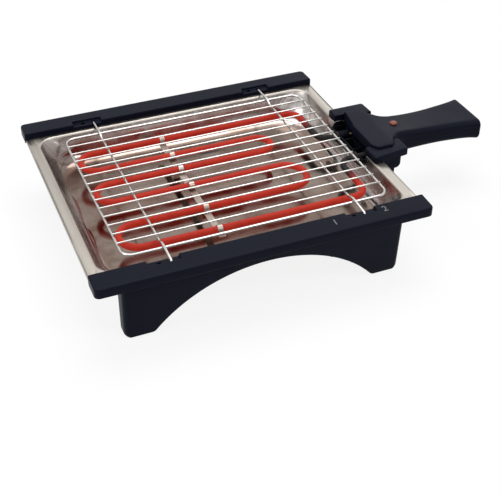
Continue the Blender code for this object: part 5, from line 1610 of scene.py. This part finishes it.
# %% Turn the lens, the lamp and the gland
lens_finish, tree, shader, vector = start_finish("orange_red_lens")
cloud = noise(tree, vector, 160.0, 3.0)
tree.links.new(
    blend(tree, cloud.outputs["Fac"], (0.150, 0.014, 0.007), (0.230, 0.030, 0.013)),
    shader.inputs["Base Color"],
)
tree.links.new(span(tree, cloud.outputs["Fac"], 0.3, 0.7, 0.30, 0.42), shader.inputs["Roughness"])
shader.inputs["Specular IOR Level"].default_value = 0.5
bump(tree, shader, noise(tree, vector, 900.0, 2.0).outputs["Fac"], 0.1, 0.00003)
high = float(cover_height(np.array([lens_x - 0.0047]))[0]) - 0.0001
t = quarter_turn(10)
dome = np.column_stack([0.0040 * np.cos(t), high + 0.0014 + 0.0011 * np.sin(t)])
brim = np.array([
    (0.0, high - 0.0062), (0.0030, high - 0.0062), (0.0032, high - 0.0059), (0.0032, high),
    (0.0047, high), (0.0047, high + 0.0007), (0.00455, high + 0.00115), (0.0042, high + 0.0014),
])
lens = turned(np.concatenate([brim[1:], dome[:-1], [[0.0002, high + 0.0025]]]), (lens_x, 0, 0), sides=40)
piece("pilot_lens_dome", [lens], lens_finish, "element_unit", ("pilot_lens",), sharp=35)
gland_start = handle_end - 0.0025 - 0.00225
reach = handle_end - gland_start
section = np.array([
    (0.0033, 0), (0.0055, 0), (0.0055, reach + 0.0003), (0.0075, reach + 0.0003), (0.0075, reach + 0.0009),
    (0.0071, reach + 0.0012), (0.0045, reach + 0.0012), (0.0036, reach + 0.0008), (0.0033, reach + 0.0002),
])
angle = np.linspace(0, 2 * pi, 36, endpoint=False)
spoke = np.column_stack([0 * angle, np.cos(angle), np.sin(angle)])
start, ahead = np.array([gland_start, 0, gland_level]), np.array([1.0, 0, 0])
grid = start + section[None, :, 1, None] * ahead + section[None, :, 0, None] * spoke[:, None]
piece(
    "gland_grommet", [surface(grid, wrap_rows=True, wrap_columns=True)], soft_rubber, "element_unit",
    ("cord_gland",), sharp=35,
)
print("lens stands", round(1000 * float(high + 0.0025), 2), "mm above the rim")

# %% [markdown]
# ## Screws, pads and the parts inside
# The screws have pan heads with a cross recess, turned and then cut by a wedge
# each way. The pads are soft blocks in the feet. The switch, the cutout, the
# clamp and the lamp sit inside the handle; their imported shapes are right, so
# they stay, with finishes of their own.

# %% Turn the screws
def pan_screw(name, node, foot, length, body):
    """A pan head screw that points up: a domed head, a cross recess, a shank with a point."""
    t = quarter_turn(6)
    head_high, crown, shank = 0.0018, 0.0018, 0.0015
    head = np.column_stack([crown + 0.0010 * np.sin(t), -head_high + 0.0011 * (1 - np.cos(t))])
    under_head = [(0.0028, -0.0001), (0.0027, 0.0), (shank, 0.0)]
    point = [(shank, length - 0.0012), (0.0006, length - 0.0002), (0.0003, length)]
    profile = np.concatenate([[(0.0004, -head_high)], head, under_head, point])
    obj = piece(name, [turned(profile, foot, sides=20)], zinc, body, (node,), sharp=40)
    x, y, z = foot
    wedges = ((0.0013, 0.00022), (0.00022, 0.0013))
    carve(obj, [box_mesh((x - a, y - b, z - 0.0022), (x + a, y + b, z - 0.0010)) for a, b in wedges])
    return obj


play, rail_bite, arm_bite = 0.0003, 0.0052, 0.0062
rail_seat = leg_top - leg_wall - play
for side_name, side in (("front", -1), ("back", 1)):
    for word, place in zip(("left", "middle", "right"), boss_spots):
        pan_screw(
            f"rail_screw_{side_name}_{word}", f"{side_name}_screw_{word}",
            (place, side * 0.1546, rail_seat), rail_bite - rail_seat, "base",
        )
    pan_screw(
        f"arm_screw_{side_name}", f"holder_screw_{side_name}", (0.1862, side * 0.0550, -0.0011),
        arm_bite + 0.0011, "base",
    )
seat = split_level - 0.0050
for word, (px, py) in zip(("box_front", "box_back", "handle_inner", "handle_outer"), screw_spots):
    pan_screw(f"shell_screw_{word}", f"control_screw_{word}", (px, py, seat), 0.0125, "element_unit")
print("screws turned:", 12)

# %% Press the pads
pad_x = 0.1434
pad_y = (leg_back + face_top - face_lean) / 2
for side_name, side in (("front", -1), ("back", 1)):
    for word, hand in (("left", -1), ("right", 1)):
        outline = rounded(
            [(-0.0065, -0.0040), (0.0065, -0.0040), (0.0065, 0.0040), (-0.0065, 0.0040)], 0.0012, 5
        )
        outline = outline + np.array([hand * pad_x, side * pad_y])
        t = quarter_turn(4)
        offsets = np.concatenate([-0.0003 * (1 - np.sin(t)), [0.0]])
        heights = np.concatenate([table_level + 0.0003 * (1 - np.cos(t)), [table_level + 0.0015]])
        piece(
            f"foot_pad_{side_name}_{word}", [plate(outline, offsets, heights)], soft_rubber, "base",
            (f"{side_name}_pad_{word}",), sharp=40,
        )
print("pads stand at", round(1000 * pad_x, 1), "mm from the middle")

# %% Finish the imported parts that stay
lamp_finish, tree, shader, vector = start_finish("small_neon_lamp")
tree.links.new(
    blend(tree, noise(tree, vector, 300.0).outputs["Fac"], (0.80, 0.42, 0.24), (0.90, 0.60, 0.40)),
    shader.inputs["Base Color"],
)
tree.links.new(
    span(tree, noise(tree, vector, 500.0).outputs["Fac"], 0.3, 0.7, 0.08, 0.20),
    shader.inputs["Roughness"],
)
red_button = moulded("red_button_plastic", (0.28, 0.030, 0.014), (0.36, 0.050, 0.024), 0.38)
stay = {
    "pilot_lamp": lamp_finish, "safety_switch": dark_resin, "thermal_cutout": dark_resin,
    "cord_clamp": dark_resin, "switch_button": red_button,
}
for node, finish in stay.items():
    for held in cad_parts[node].material_slots:
        held.material = finish
print("packed parts with new finishes:", sorted(stay))

# %% [markdown]
# ## Printed numbers
# The front rail carries two small grey marks, one on each side of the wire's
# pocket, that tell the two places of the rack. They are pad printed: a film of ink
# a few hundredths of a millimetre thick. Here they are the plain numbers 1 and 2,
# drawn by the built-in font and turned into a thin filled mesh.

# %% Print the numbers
ink, tree, shader, vector = start_finish("grey_ink")
worn = noise(tree, vector, 900.0, 3.0)
tree.links.new(
    blend(tree, worn.outputs["Fac"], (0.10, 0.10, 0.105), (0.17, 0.17, 0.175)),
    shader.inputs["Base Color"],
)
tree.links.new(span(tree, worn.outputs["Fac"], 0.3, 0.7, 0.45, 0.60), shader.inputs["Roughness"])


def printed(name, text, place, size):
    """A printed character: the font's filled outline, as thick as ink, tilted with the rail's top.

    The top falls evenly outwards, so each point's height follows its distance from
    the rail's inner edge.
    """
    words = bpy.data.curves.new(name, "FONT")
    words.body, words.size, words.extrude = text, size, 0.00004
    words.align_x, words.align_y = "CENTER", "CENTER"
    carrier = bpy.data.objects.new(name, words)
    mesh = bpy.data.meshes.new_from_object(carrier)
    bpy.data.objects.remove(carrier)
    spots = np.empty(len(mesh.vertices) * 3)
    mesh.vertices.foreach_get("co", spots)
    spots = spots.reshape(-1, 3) + np.array([*place, 0.00002])
    spots[:, 2] += rail_height(-spots[:, 1])
    mesh.vertices.foreach_set("co", (spots + origin).ravel())
    return piece(name, [mesh], ink, "base", sharp=30)


for text, place in (("1", (0.0789, -0.1592)), ("2", (0.1407, -0.1568))):
    print("mark", text, "faces:", len(printed("mark_" + text, text, place, 0.0125).data.polygons))
